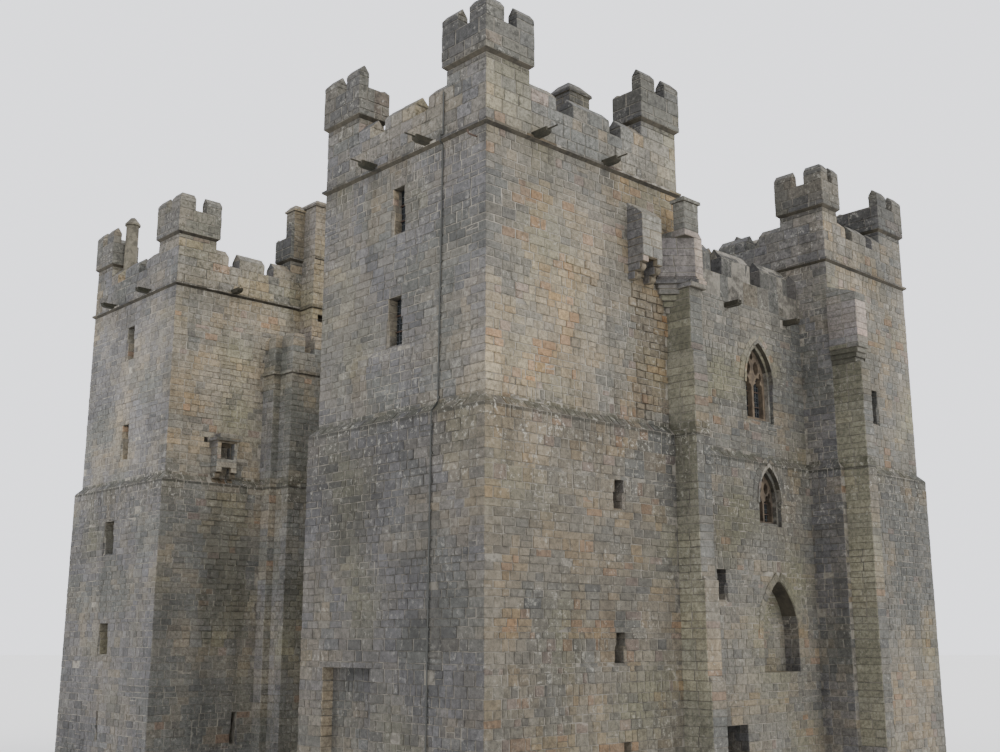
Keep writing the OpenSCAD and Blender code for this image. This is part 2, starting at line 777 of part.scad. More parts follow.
// latrine closet carried on the near pier, with a moulded foot and a vent stack
module closet() {
    top = closet_z + closet_h;
    translate([0, 0, closet_z]) linear_extrude(closet_h) closet_plan(0);
    translate([0, 0, closet_z + 110]) linear_extrude(120) closet_plan(130);
    translate([0, 0, closet_z + 230]) linear_extrude(90) closet_plan(60);
    for (k = [1 : 4]) translate([0, 0, closet_z - k * 170]) linear_extrude(170)
        closet_plan(70 - k * 110);
    xv = near_w - 760;
    zv = top + vent_h;
    yv = vent_w * 0.63 - pier_p;
    along_y(-pier_p, 0, [[xv, top], [near_w, top], [near_w, top + 40], [xv, top + 200]]);
    block([xv, -pier_p, top], [xv + vent_w, yv, zv]);
    block([xv - 60, -pier_p - 60, zv], [xv + vent_w + 60, yv + 60, zv + 100]);
    block([xv + 60, 60 - pier_p, zv + 100], [xv + vent_w - 60, yv - 60, zv + 170]);
}
module near_pier() {
    x = near_w - 650;
    color("#8a816d") difference() {
        union() {
            pier_body(x, 0);
            block([x, -pier_p, pier_z], [x + pier_w, 0, closet_z + 110]);
            block([x - 60, -pier_p - 120, closet_z - 30], [x + pier_w + 110, 0, closet_z + 110]);
            closet();
        }
        tower_skin(near_r);
    }
}

// pier with a corbelled head, its back at y
module side_pier_body(x, y) {
    block([x, y - side_p, 0], [x + pier_w, y, side_z - 510]);
    block([x - 100, y - side_p, side_z], [x + pier_w, y, side_z + side_h]);
    for (k = [1 : 3]) block([x - 100 + k * 30, y - side_p + k * 60, side_z - k * 170],
        [x + pier_w, y, side_z - (k - 1) * 170]);
    along_x(x - 100, x + pier_w, [[y - side_p, side_z + side_h], [y, side_z + side_h],
        [y, side_z + side_h + 400]]);
}
module right_pier() {
    color("#8a816d") difference() {
        side_pier_body(slim_x + 20, right_in);
        tower_skin(right_r);
    }
}
module left_pier() {
    color("#8a816d") difference() {
        translate([0, plan_y, 0]) mirror([0, 1, 0]) side_pier_body(near_w - 750, 0);
        tower_skin(left_r);
    }
}
module back_pier() {
    color("#8a816d") difference() {
        translate([0, plan_y, 0]) mirror([0, 1, 0]) side_pier_body(slim_x + 20, 0);
        tower_skin(back_r);
    }
}

// space kept for the stack and the flue above the stair turret
module stack_zone() {
    block([stair_x, stair_y - 100, wall_z], [near_w + 300, stack_y, stack_z + 400]);
    block([stair_x - flue_w + 60, left_y - tur_o - 1, shaft_z], [stair_x + 1, left_y + 500,
        stack_z + 400]);
}

// capped top of a flue or stack over a rectangle, its cap starting at z
module flue_cap(x0, y0, x1, y1, z) {
    block([x0 - 60, y0 - 60, z], [x1 + 60, y1 + 60, z + 90]);
    frustum(x0 - 30, y0 - 30, x1 + 30, y1 + 30, 130, z + 90, z + 270);
}

// stair turret in the angle of the left tower and the hall, with its tall stack
module stair_turret() {
    x0 = stair_x;
    y0 = stair_y;
    xf = x0 - flue_w + 60;
    yf = left_y - tur_o + 20;
    color("#8f8774") difference() {
        union() {
            block([x0, y0, 0], [near_w, left_y, wall_z]);
            block([x0 - 80, y0 - 80, wall_z - 140], [near_w, left_y, wall_z]);
            block([x0, y0, wall_z], [near_w, stack_y, stack_z]);
            block([x0, y0 - 70, shaft_z - 120], [near_w, left_y, shaft_z]);
            flue_cap(x0, y0, near_w, stack_y, stack_z);
            block([xf, yf, shaft_z], [x0, left_y + 500, stack_z - 120]);
            flue_cap(xf, yf, x0 - 60, left_y + 500, stack_z - 120);
        }
        block([x0 + 250, y0 - 100, 17700], [near_w - 350, y0 + 400, 18000]);
        tower_skin(left_r);
        hall_mass();
        block([hall_x0, hall_y0, 0], [hall_x1, hall_y1, hall_z + hall_ridge + 100]);
    }
}

// battlements along two sides of a corner, outer corner at the origin
module corner_battlement(a, b, ca, cb, t) {
    zs = lat_z + 760;
    ze = lat_z + 1290;
    zr = lat_z + 1480;
    parapet_run(0, a, t, ca, lat_z, zs, ze, zr, 1);
    mirror([1, -1, 0]) parapet_run(0, b, t, cb, lat_z, zs, ze, zr, 1);
}

// low battlemented latrine turret beside the stair turret
module garderobe_turret() {
    xa = near_w - lat_w;
    xb = xa + lat_step;
    ya = left_y - lat_p;
    yb = ya + lat_n;
    color("#8a826f") difference() {
        union() {
            block([xa, yb, 0], [stair_x, left_y, lat_z]);
            block([xb, ya, 0], [near_w, yb, lat_z]);
            block([xa - 80, yb - 80, lat_z - 140], [stair_x, left_y, lat_z]);
            block([xb - 80, ya - 80, lat_z - 140], [near_w, yb, lat_z]);
            translate([xa, yb, 0]) corner_battlement(lat_step + 300, left_y - yb, [],
                [[left_y - yb - 260, left_y - yb - 20]], 300);
            translate([xb, ya, 0]) corner_battlement(near_w - xb, lat_n + 300,
                [[520, 1000], [1800, 2200]], [], 300);
        }
        block([stair_x, stair_y, -1], [near_w + 300, left_y + 1, wall_z]);
        block([stair_x - 80, stair_y - 80, wall_z - 140], [near_w + 300, left_y + 1, wall_z]);
        tower_skin(left_r);
        hall_mass();
    }
}

// flue s wide with a capped head
module flue_at(x, y, z0, sx, sy, z1) {
    block([x, y, z0], [x + sx, y + sy, z1]);
    block([x - 60, y - 60, z1], [x + sx + 60, y + sy + 60, z1 + 70]);
    frustum(x - 60, y - 60, x + sx + 60, y + sy + 60, 250, z1 + 70, z1 + 370);
}

// round flue beside the left tower's back turret
module left_flue() {
    y = plan_y - tur_l + 250 - tur_o - 200;
    r = flue_w / 2 - 25;
    translate([left_in + 590, y, 0]) {
        translate([0, 0, wall_z + 60]) cylinder(h = stack_z - wall_z - 540, r = r, $fn = 48);
        translate([0, 0, stack_z - 480]) cylinder(h = 70, r = r + 60, $fn = 48);
        translate([0, 0, stack_z - 410]) cylinder(h = 260, r1 = r + 60, r2 = 110, $fn = 48);
    }
}
module chimneys() {
    color("#7a7468") {
        difference() {
            flue_at(near_w * 0.52, 850, wall_z + 60, 840, 800, wall_z + 2430);
            tower_roof(near_r, near_t);
        }
        difference() {
            left_flue();
            tower_roof(left_r, left_t);
        }
        difference() {
            flue_at(plan_x - 1500, front_d - tur_l - 800, wall_z + 60, flue_w, flue_w, wall_z + 2350);
            tower_roof(right_r, right_t);
            tower_parapet(right_r, right_t, right_c);
        }
    }
}

// rounded corbel, two rolls one over the other, its top at z
module corbel(x, w, p, z) {
    for (k = [0, 1]) {
        q = p - 60 - k * 190;
        block([x, -q + 110, z - 220 * (k + 1)], [x + w, 0, z - 220 * k]);
        translate([x, -q + 110, z - 220 * k - 110]) rotate([0, 90, 0]) cylinder(h = w, r = 110, $fn = 48);
    }
}

// box on corbels, open below, in the front wall's own frame
module machic(x, w, p, z0, h) {
    difference() {
        block([x, -p, z0], [x + w, 0, z0 + h]);
        block([x + 150, -p + 150, z0 - 1], [x + w - 150, 1, z0 + h - 200]);
        block([x + w / 2 - 200, -p - 1, z0 - 1], [x + w / 2 + 200, -p + 151, z0 + 180]);
        children();
    }
    for (s = [x, x + w - 190]) corbel(s, 190, p, z0);
}
module near_machicolation() {
    x = near_mach_x;
    color("#9a8f79") {
        machic(x, mach_w, mach_p, mach_z, mach_h);
        along_x(x, x + mach_w, [[-mach_p, mach_z + mach_h], [0, mach_z + mach_h],
            [0, mach_z + mach_h + 480], [-mach_p, mach_z + mach_h + 40]]);
    }
}
module left_machicolation() {
    x = left_mach_x;
    color("#8f8674") difference() {
        translate([0, left_y, 0]) {
            machic(x, mach_w, ruin_p, ruin_z, 1180)
                block([x + 150, -ruin_p - 1, ruin_z + 480], [x + mach_w - 110, -ruin_p + 240,
                    ruin_z + 1100]);
            block([x - 80, -ruin_p - 60, ruin_z + 1180], [x + mach_w + 80, 0, ruin_z + 1290]);
            block([x + 120, -ruin_p + 40, ruin_z + 1290], [x + mach_w - 60, 0, ruin_z + 1460]);
        }
        tower_skin(left_r);
    }
}

// stone water spout with a channel and a lead pipe p past its end, its root at y = 0
module spout(p) {
    difference() {
        union() {
            block([-105, 100 - spout_l, -60], [105, 0, 100]);
            along_x(-105, 105, [[100 - spout_l, -60], [-spout_l, 0], [-spout_l, 100],
                [100 - spout_l, 100]]);
        }
        block([-45, -spout_l - 1, 40], [45, -20, 101]);
    }
    translate([0, -100, 60]) rotate([90, 0, 0])
        cylinder(h = spout_l - 100 + p, r = 22, $fn = 24);
}
module waterspouts() {
    z = wall_z + 5;
    color("#6b665c") difference() {
        union() {
            for (x = [1730, 4500]) translate([x, 0, z]) spout(pipe_l);
            for (y = [2240, 4650]) translate([0, y, z]) rotate(-90) spout(pipe_l);
            for (y = [20420, 23400]) translate([left_in, y, z]) rotate(-90) spout(60);
            translate([3500, left_y, z]) spout(60);
            for (x = [12050, 15450]) translate([x, hall_y0, hall_z - 260]) spout(60);
            for (x = [12050, 15450]) translate([x, hall_y1, hall_z - 260]) rotate(180) spout(60);
            for (y = [2240, 4650]) translate([plan_x, y, z]) rotate(90) spout(60);
            for (y = [20250, 22660]) translate([plan_x, y, z]) rotate(90) spout(60);
        }
        for (r = towers) tower_skin(r);
        hall_mass();
    }
}

module leaded_glass() {
    color("#39424a") {
        windows_glass(near_r, near_low);
        windows_glass(near_r, near_up);
        windows_glass(left_r, left_low);
        windows_glass(left_r, left_up);
        windows_glass(right_r, right_low);
        windows_glass(right_r, right_up);
        windows_glass(back_r, back_low);
        windows_glass(back_r, back_up);
        windows_glass(hall_r, hall_front_rect);
        windows_glass(hall_r, hall_side_low);
        windows_glass(hall_r, hall_side_up);
        for (k = [0, 1]) translate([0, k * plan_y, 0]) mirror([0, k, 0]) {
            translate([hall_c, hall_y0 + 260 + trac_t + glass_t, trac_sill]) rotate([90, 0, 0])
                linear_extrude(glass_t) pointed(trac_w, trac_spring);
            translate([hall_c, hall_y0 - set_p + 260 + trac_t + glass_t, low_sill])
                rotate([90, 0, 0]) linear_extrude(glass_t) pointed(low_w, low_spring);
        }
    }
}

// puts the middle of the plan on the origin
module placed() {
    translate([-org_x, -org_y, 0]) children();
}

placed() near_lower_walls();
placed() near_upper_walls();
placed() near_parapet();
placed() near_floors();
placed() near_roof();
placed() left_lower_walls();
placed() left_upper_walls();
placed() left_parapet();
placed() left_floors();
placed() left_roof();
placed() right_lower_walls();
placed() right_upper_walls();
placed() right_parapet();
placed() right_floors();
placed() right_roof();
placed() back_lower_walls();
placed() back_upper_walls();
placed() back_parapet();
placed() back_floors();
placed() back_roof();
placed() hall_front_wall();
placed() hall_back_wall();
placed() hall_left_wall();
placed() hall_right_wall();
placed() hall_parapets();
placed() hall_floors();
placed() hall_roof();
placed() front_tracery();
placed() back_tracery();
placed() near_pier();
placed() right_pier();
placed() left_pier();
placed() back_pier();
placed() stair_turret();
placed() garderobe_turret();
placed() chimneys();
placed() near_machicolation();
placed() left_machicolation();
placed() waterspouts();
placed() leaded_glass();
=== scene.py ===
# %% [markdown]
# # A castle keep in stone
# The keep is four square towers round a lower hall. The solids of the walls come in
# as the frame, and this lesson dresses them: every course of stone, the lead roofs,
# the glass and the ironwork.

import math
import random
from collections import namedtuple

import bmesh
import bpy
import numpy as np
from mathutils import Matrix, Vector, noise
from mathutils.bvhtree import BVHTree


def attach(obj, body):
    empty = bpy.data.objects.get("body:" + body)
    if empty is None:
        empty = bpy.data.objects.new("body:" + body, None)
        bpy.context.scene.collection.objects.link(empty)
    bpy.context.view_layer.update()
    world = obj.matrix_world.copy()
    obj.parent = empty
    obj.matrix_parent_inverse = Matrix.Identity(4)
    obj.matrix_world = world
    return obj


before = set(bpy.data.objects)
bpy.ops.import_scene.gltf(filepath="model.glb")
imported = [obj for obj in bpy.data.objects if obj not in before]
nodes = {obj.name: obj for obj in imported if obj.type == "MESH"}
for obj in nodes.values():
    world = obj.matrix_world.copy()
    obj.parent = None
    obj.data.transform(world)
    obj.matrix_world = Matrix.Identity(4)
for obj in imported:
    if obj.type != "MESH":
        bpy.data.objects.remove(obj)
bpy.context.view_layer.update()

# %% [markdown]
# The camera stands off the near corner and looks up a little. Its place and lens give
# the perspective of the view: a tall tower close by, the hall behind. Both were worked
# out from edges and corners of the building, so they are plain numbers here.


# %% Camera
def add_object(name, data):
    """Puts a mesh, a lamp or a camera into the scene."""
    made = bpy.data.objects.new(name, data)
    bpy.context.scene.collection.objects.link(made)
    return made


camera_data = bpy.data.cameras.new("view")
camera_data.sensor_width = 36.0
camera_data.lens = 42.54
camera_data.clip_end = 400.0
camera = add_object("view", camera_data)
camera.location = (-29.885, -33.42, 5.34)
camera.rotation_euler = (math.radians(102.54), 0.0, math.radians(-43.14))
bpy.context.scene.camera = camera
print("camera at", [round(v, 2) for v in camera.location])

# %% [markdown]
# A finish of old stone is a sum of many faint layers, and shader maths reads best as
# plain sums. So a small class wraps a socket: `1 - mask * 0.5` then adds the Math nodes
# by itself.


# %% Sockets that take part in sums
class Field:
    """A socket of a node tree that takes part in sums."""

    def __init__(self, tree, socket):
        self.tree, self.socket = tree, socket

    def math(self, operation, a, b=0.0, clamp=False):
        return self.tree.add("ShaderNodeMath", {"operation": operation, "use_clamp": clamp},
                             {0: a, 1: b})["Value"]

    def __add__(self, other):
        return self.math("ADD", self, other)

    def __sub__(self, other):
        return self.math("SUBTRACT", self, other)

    def __rsub__(self, other):
        return self.math("SUBTRACT", other, self)

    def __mul__(self, other):
        return self.math("MULTIPLY", self, other)

    def clamped(self):
        return self.math("ADD", self, 0.0, clamp=True)

    __radd__ = __add__
    __rmul__ = __mul__


def linear(red, green, blue):
    """A colour given on the 0 to 255 scale, as linear light."""
    return tuple((c / 255.0) ** 2.2 for c in (red, green, blue)) + (1.0,)


print("middle grey in linear light", round(linear(128, 128, 128)[0], 3))

# %% [markdown]
# A second class holds one material. All the nodes that aren't sums come from `add`,
# which takes a node's type, its settings and the values or links of its sockets. The
# noises read Object coordinates, so a pattern sits still in the stone and runs on from
# one piece to the next.

# %% A finish made of nodes
MIX_SHARE, MIX_FIRST, MIX_SECOND, MIX_RESULT = 0, 6, 7, 2  # colour sockets of the Mix node


class Finish:
    """A material whose nodes are made from Python expressions."""

    def __init__(self, name):
        self.material = bpy.data.materials.new(name)
        self.material.use_nodes = True
        self.nodes = self.material.node_tree.nodes
        self.links = self.material.node_tree.links
        self.shader = self.nodes["Principled BSDF"]
        self.coords = self.add("ShaderNodeTexCoord", {}, {})["Object"]

    def put(self, socket, value):
        if isinstance(value, Field):
            self.links.new(value.socket, socket)
        else:
            socket.default_value = value

    def add(self, kind, settings, inputs):
        node = self.nodes.new(kind)
        for key, value in settings.items():
            setattr(node, key, value)
        for key, value in inputs.items():
            self.put(node.inputs[key], value)
        return {s.name: Field(self, s) for s in node.outputs if s.enabled}

    def noise(self, scale, detail=4.0, rough=0.55, stretch=(1.0, 1.0, 1.0)):
        place = self.add("ShaderNodeMapping", {}, {"Vector": self.coords, "Scale": stretch})
        made = self.add("ShaderNodeTexNoise", {}, {
            "Vector": place["Vector"], "Scale": scale, "Detail": detail, "Roughness": rough})
        return made["Fac"] if "Fac" in made else made["Factor"]

    def span(self, field, low, high):
        """0 where a field is at its low value, 1 at its high one."""
        return self.add("ShaderNodeMapRange", {"clamp": True}, {
            "Value": field, "From Min": low, "From Max": high})["Result"]

    def mix(self, share, first, second, blend="MIX"):
        node = self.nodes.new("ShaderNodeMix")
        node.data_type, node.blend_type = "RGBA", blend
        self.put(node.inputs[MIX_SHARE], share)
        self.put(node.inputs[MIX_FIRST], first)
        self.put(node.inputs[MIX_SECOND], second)
        return Field(self, node.outputs[MIX_RESULT])

    def shade(self, share, color, by):
        """The colour times another one, where the share says so."""
        return self.mix(share, color, by + (1.0,), "MULTIPLY")

    def bump(self, height, strength, distance):
        return self.add("ShaderNodeBump", {}, {
            "Height": height, "Strength": strength, "Distance": distance})["Normal"]

    def finish(self, color, rough, normal=None, metallic=0.0):
        self.put(self.shader.inputs["Base Color"], color)
        self.put(self.shader.inputs["Roughness"], rough)
        self.shader.inputs["Metallic"].default_value = metallic
        if normal is not None:
            self.put(self.shader.inputs["Normal"], normal)
        return self.material


print("finish helper ready")

# %% [markdown]
# Each block of the walls has a colour of its own, and all of them share the weather:
# grain, rain streaks, soot under the ledges and pale lichen. Under the towers' ledge a
# thin line of painted shadow is added too. One picture for the whole wall would blur
# close by, so every block carries its tint as an attribute, and the shader adds only
# what is finer than a block or follows a height on the wall.

# %% Weathered stone
UNDER_STRING = (18.0, 18.3)  # heights of the soot under the string course
UNDER_LEDGE = (10.5, 10.9)  # and under the sloping ledge of the towers
LEDGE = (11.0, 11.24)  # the mossy slope itself
PAINTED_DRIP_SHADOW = (10.87, 10.95)  # painted shadow: the thin dark line under its lower edge
CRUSTS = ((9.2, 11.3), (10.3, 11.3))  # lichen grows thicker near the ledge
DOWNWARD = (1.0, 1.0, 0.12)  # stretches a noise into streaks of rain


def height_band(f, low, high, soft):
    """1 between two heights above the foot of the keep, fading out past them."""
    height = f.add("ShaderNodeSeparateXYZ", {}, {"Vector": f.coords})["Z"]
    return f.span(height, low - soft, low) * f.span(height, high + soft, high)


def stone_finish(name, streak, lichen, spotted):
    """Weathered stone: the block's own tint under grain, rain streaks, soot, lichen and a painted
    shadow line.
    """
    f = Finish(name)
    tint = f.add("ShaderNodeAttribute", {"attribute_name": "tint"}, {})["Color"]
    grain, fine = f.noise(8.0, 12.0, 0.85), f.noise(45.0, 6.0, 0.7)
    rain = f.noise(1.1, 6.0, 0.65, DOWNWARD)
    patch = f.noise(0.55, 7.0, 0.65)
    color = f.shade(f.span(grain, 0.44, 0.57), tint, (0.52, 0.52, 0.51))
    color = f.shade(f.span(patch, 0.42, 0.62) * 0.45, color, (0.62, 0.61, 0.58))
    color = f.shade(f.span(rain, 0.48, 0.66) * streak, color, (0.52, 0.52, 0.5))
    soot = height_band(f, *UNDER_STRING, 0.7) + height_band(f, *UNDER_LEDGE, 0.9) * 0.6
    soot = (soot * f.span(rain, 0.4, 0.6)).clamped()
    color = f.shade(soot * 0.55, color, (0.5, 0.48, 0.42))
    mossy = height_band(f, *LEDGE, 0.05) * f.span(f.noise(2.2, 6.0, 0.65), 0.44, 0.54)
    color = f.mix(mossy * 0.6, color, linear(56, 56, 42))
    # Painted shadow: a thin dark line just under the lower edge of the ledge.
    color = f.mix(height_band(f, *PAINTED_DRIP_SHADOW, 0.02) * 0.7, color, linear(44, 43, 36))
    blots = f.span(f.noise(4.0, 7.0, 0.72), 0.52, 0.62)
    color = f.shade(blots * spotted, color, (0.4, 0.41, 0.38))
    crusted = f.span(f.noise(0.9, 5.0, 0.6), 0.42, 0.58)
    for low, high in CRUSTS:
        crusted = crusted + height_band(f, low, high, 0.15) * 0.4
    spots = f.span(f.noise(6.5, 8.0, 0.75), 0.55, 0.61) * crusted
    color = f.mix((spots * lichen).clamped(), color, linear(178, 175, 162))
    return f.finish(color, 0.93, f.bump(grain * 0.6 + fine * 0.4, 0.8, 0.04))


stone = stone_finish("weathered_sandstone", 0.55, 0.3, 0.15)
stone_dark = stone_finish("battlement_sandstone", 0.55, 0.4, 0.6)
print("stone finishes ready:", stone.name, "and", stone_dark.name)

# %% [markdown]
# Mortar shows between the blocks, and worked stone has no blocks to tint it. Both are
# two tones in broad and in small patches under grain and rain, so one helper makes
# both. Mortar takes its light from the wall that it lies in: a joint that is paler or
# darker than its stones by the same share reads as one wall in sun and in shade.


# %% Worked stone and mortar
def plain_stone_finish(name, base, dark, streak):
    """Worked stone: two tones in broad and in small patches, grain and streaks."""
    f = Finish(name)
    grain = f.noise(7.0, 8.0, 0.75)
    broad = f.span(f.noise(0.4, 7.0, 0.68), 0.46, 0.6)
    small = f.span(f.noise(3.2, 7.0, 0.75), 0.47, 0.56)
    rain = f.noise(1.1, 5.0, 0.6, DOWNWARD)
    color = f.mix(broad * 0.5 + small * 0.5, base, dark)
    color = f.shade(f.span(grain, 0.42, 0.65) * 0.5, color, (0.5, 0.5, 0.48))
    color = f.shade(f.span(rain, 0.5, 0.68) * streak, color, (0.45, 0.45, 0.43))
    return f.finish(color, 0.95, f.bump(grain, 0.6, 0.03))


def joint_finish(name, light):
    """Mortar as light as the stones round it, in places paler, in places open and dark."""
    filled, empty = (tuple(c * light * factor for c in linear(*tone)[:3]) + (1.0,)
                     for tone, factor in (((160, 154, 140), 1.45), ((150, 144, 130), 0.45)))
    return plain_stone_finish(name, filled, empty, 0.3)


dressed = plain_stone_finish("dressed_sandstone", linear(118, 108, 90), linear(84, 78, 66), 0.4)
carved = plain_stone_finish("carved_sandstone", linear(100, 88, 72), linear(66, 58, 48), 0.3)
smoked = plain_stone_finish("smoked_sandstone", linear(128, 122, 106), linear(84, 80, 70), 0.4)
worn = plain_stone_finish("mossy_stone", linear(60, 56, 45), linear(42, 42, 32), 0.4)
# Painted shade: a dark finish for the wall faces that look down.
soffit_shade = plain_stone_finish("painted_shade_underside", linear(74, 69, 58), linear(50, 47, 40), 0.3)
print("plain finishes ready:", [made.name for made in (dressed, carved, smoked, worn, soffit_shade)])

# %% [markdown]
# Walls of this kind are built in level courses of roughly squared blocks. A brick
# pattern in the shader would be quicker, but it stays flat and its beds don't meet at
# the corners. Here one list of bed levels serves the whole building, so the courses
# run on round the corners. The battlements have taller stones and beds of their own.

# %% Bed levels
SEED = 11
TOPMOST = 24.0  # higher than any stone
BATTLEMENTS_FROM = 18.0

chance = random.Random(SEED)


def bed_levels(foot, heights, uneven=0.0):
    """Levels of the beds from a foot upwards, each course of a chance height."""
    found = [foot]
    while found[-1] < TOPMOST:
        found.append(found[-1] + chance.choice(heights)
                     + (chance.uniform(-uneven, uneven) if uneven else 0.0))
    return found


levels = bed_levels(0.0, (0.19, 0.21, 0.23, 0.25, 0.27, 0.3), 0.01)
tall_levels = bed_levels(BATTLEMENTS_FROM, (0.31, 0.34, 0.38, 0.41))
print(len(levels), "beds for the walls,", len(tall_levels), "for the battlements")

# %% [markdown]
# The solids have rooms inside, and stones in a closed room would cost triangles that
# no eye can reach. So before a block is laid, a few straight looks start from its
# place, and only if one of them leads to the open air is the block laid. All the
# solids go into one search tree first, which makes such a look cheap.

# %% Looks to the open air
OFF_FACE = 0.03  # a look starts this far in front of its face
GRAZING = 0.08  # a look this flat along the face doesn't count
FAR = 80.0
LOOK_OUT = [Vector(way).normalized() for way in (
    (1, 0, 0.05), (-1, 0, 0.05), (0, 1, 0.05), (0, -1, 0.05),
    (1, 1, 0.1), (-1, 1, 0.1), (1, -1, 0.1), (-1, -1, 0.1),
    (0, 0, 1), (1, 0, 1), (-1, 0, 1), (0, 1, 1), (0, -1, 1),
    (0.3, 0.9, -0.1), (-0.3, -0.9, -0.1), (0.9, -0.3, -0.1), (-0.9, 0.3, -0.1))]


def all_triangles(solids):
    """Corners and triangles of some solids, each as one list."""
    corners, triangles = [], []
    for solid in solids:
        first = len(corners)
        corners += [tuple(vert.co) for vert in solid.data.vertices]
        triangles += [tuple(first + i for i in face.vertices) for face in solid.data.polygons]
    return corners, triangles


everything = BVHTree.FromPolygons(*all_triangles(nodes.values()))


def seen(point, normal):
    """True if some straight way leads from this place on a face to the open air."""
    start = point + normal * OFF_FACE
    return any(way.dot(normal) > GRAZING and everything.ray_cast(start, way, FAR)[0] is None
               for way in LOOK_OUT)


print(len(LOOK_OUT), "looks for each place")

# %% [markdown]
# The stones are laid face by face. A solid arrives as loose triangles, so those that
# share a direction and a level are gathered into flat faces. On such a face two axes,
# along and up, turn the rest of the work into a flat drawing.

# %% Flat faces
FLAT = 0.999  # a face that points up or down
SAME = 3  # decimals to which directions and levels are compared
NOTHING = 1e-9  # a triangle with less area than this has no direction


def flat_faces(solid, least=0.03):
    """The flat faces of a solid: outward normal and triangles, from a least area up."""
    mesh = solid.data
    mesh.calc_loop_triangles()
    corners = np.zeros(len(mesh.loop_triangles) * 3, np.int32)
    mesh.loop_triangles.foreach_get("vertices", corners)
    places = np.zeros(len(mesh.vertices) * 3, np.float32)
    mesh.vertices.foreach_get("co", places)
    tri = places.reshape(-1, 3)[corners.reshape(-1, 3)].astype(float)
    cross = np.cross(tri[:, 1] - tri[:, 0], tri[:, 2] - tri[:, 0])
    size = np.linalg.norm(cross, axis=1)
    whole = size > NOTHING
    tri, cross, size = tri[whole], cross[whole], size[whole]
    normal = cross / size[:, None]
    level = np.einsum("ij,ij->i", normal, tri[:, 0])
    keys = {}
    for i, key in enumerate(zip(*(np.round(normal, SAME) + 0.0).T, np.round(level, SAME))):
        keys.setdefault(key, []).append(i)
    return [(Vector(normal[members[0]]), tri[members]) for members in keys.values()
            if size[members].sum() / 2 >= least]


def face_axes(normal, triangles):
    """Directions along and up a flat face, and the place on it from which they count."""
    across = Vector((0, 0, 1)).cross(normal)
    along = Vector((1, 0, 0)) if abs(normal.z) > FLAT else across.normalized()
    return along, normal.cross(along), normal * float(np.dot(triangles[0, 0], normal))


print(len(flat_faces(nodes["near_upper_walls"])), "flat faces on the near tower's upper walls")

# %% [markdown]
# A course is a strip between two levels, but windows and slopes cut into it. A level
# line drawn over the triangles finds out where: it enters and leaves each triangle once,
# and the stretches that touch are joined. Between its crossings there is wall to lay
# blocks on. Lines near the bed and the top tell how slanted the ends are.

# %% Stretches of a course
SEAM = 0.002  # stretches closer than this are one
ENDLESS = 1e9


def crossings(flat, height):
    """The stretches of a flat face that a level line crosses."""
    v = flat[:, :, 1]
    found = []
    for t in flat[(v.min(1) < height) & (v.max(1) > height)]:
        cuts = []
        for a, b in ((0, 1), (1, 2), (2, 0)):
            if (t[a, 1] - height) * (t[b, 1] - height) < 0:
                share = (height - t[a, 1]) / (t[b, 1] - t[a, 1])
                cuts.append(t[a, 0] + share * (t[b, 0] - t[a, 0]))
        if len(cuts) == 2:
            found.append(sorted(cuts))
    found.sort()
    merged = []
    for a, b in found:
        if merged and a <= merged[-1][1] + SEAM:
            merged[-1][1] = max(merged[-1][1], b)
        else:
            merged.append([a, b])
    return merged


def course_ends(flat, low, high):
    """The stretches of one course: start and stop at half height, at the bed, at the top."""
    gap = min(0.004, (high - low) * 0.1)
    middle = crossings(flat, (low + high) / 2)
    lines = [crossings(flat, low + gap), crossings(flat, high - gap)]
    found = []
    for k, (a, b) in enumerate(middle):
        left = (middle[k - 1][1] + a) / 2 if k else -ENDLESS
        right = (b + middle[k + 1][0]) / 2 if k + 1 < len(middle) else ENDLESS
        ends = []
        for line in lines:
            near = [s for s in line if s[0] < b and s[1] > a]
            ends.append((max(near[0][0], left), min(near[-1][1], right)) if near
                        else ((a + b) / 2,) * 2)
        found.append((a, b, *ends))
    return found


square = np.array([[[0, 0], [2, 0], [2, 2]], [[0, 0], [2, 2], [0, 2]]], float)
print("half way up a square of 2 m:", crossings(square, 1.0))

# %% [markdown]
# Each flat face is cut into courses at the bed levels, and also where its own outline
# has a level edge, such as a sill, so that no block hangs over an opening. A sloping
# face has no beds of its own and gets courses of one height.

# %% Courses of a face
COURSE = 0.27  # height of a course on a sloping face
NEAR_EDGE = 0.09  # no bed this close to a level edge
EDGE_LEAST = 0.06  # shorter edges don't count
EDGE_RISE = 0.001  # a level edge rises less than this
EDGES_APART = 0.03  # level edges closer than this are one


def level_edges(flat):
    """Heights at which a flat face has a level edge, and its foot and its top."""
    u, v = flat[:, :, 0], flat[:, :, 1]
    heights = {round(float(v.min()), SAME), round(float(v.max()), SAME)}
    for a, b in ((0, 1), (1, 2), (2, 0)):
        rise, run = np.abs(v[:, a] - v[:, b]), np.abs(u[:, a] - u[:, b])
        heights |= {round(float(h), SAME) for h in v[(rise < EDGE_RISE) & (run > EDGE_LEAST), a]}
    kept = []
    for h in sorted(heights):
        if not kept or h - kept[-1] > EDGES_APART:
            kept.append(h)
    return kept


def courses(flat, upright, beds):
    """Heights of the beds of one flat face."""
    forced = level_edges(flat)
    rows = set(forced)
    if upright:
        rows |= {z for z in beds if forced[0] < z < forced[-1]
                 and min(abs(z - f) for f in forced) > NEAR_EDGE}
    else:
        for a, b in zip(forced, forced[1:]):
            n = max(1, round((b - a) / COURSE))
            rows |= {a + (b - a) * k / n for k in range(n)}
    return sorted(rows)


print("a sloping face has a course every", COURSE, "m")

# %% [markdown]
# A course is cut into blocks of chance lengths. Joints differ from block to block, and
# the corners are shaken by a few millimetres: straight lines all over would look like
# tiles. Where a course is tall, two low blocks now and then share it.

# %% Shape of a block
JOINT = 0.015
EDGE = 0.008  # blocks reach this far round a corner
LEAST_WIDTH = 0.01
SPLIT_HEIGHT = 0.24  # a course as tall as this may hold two low blocks
LOW = 0.12  # blocks as low as this have thin beds


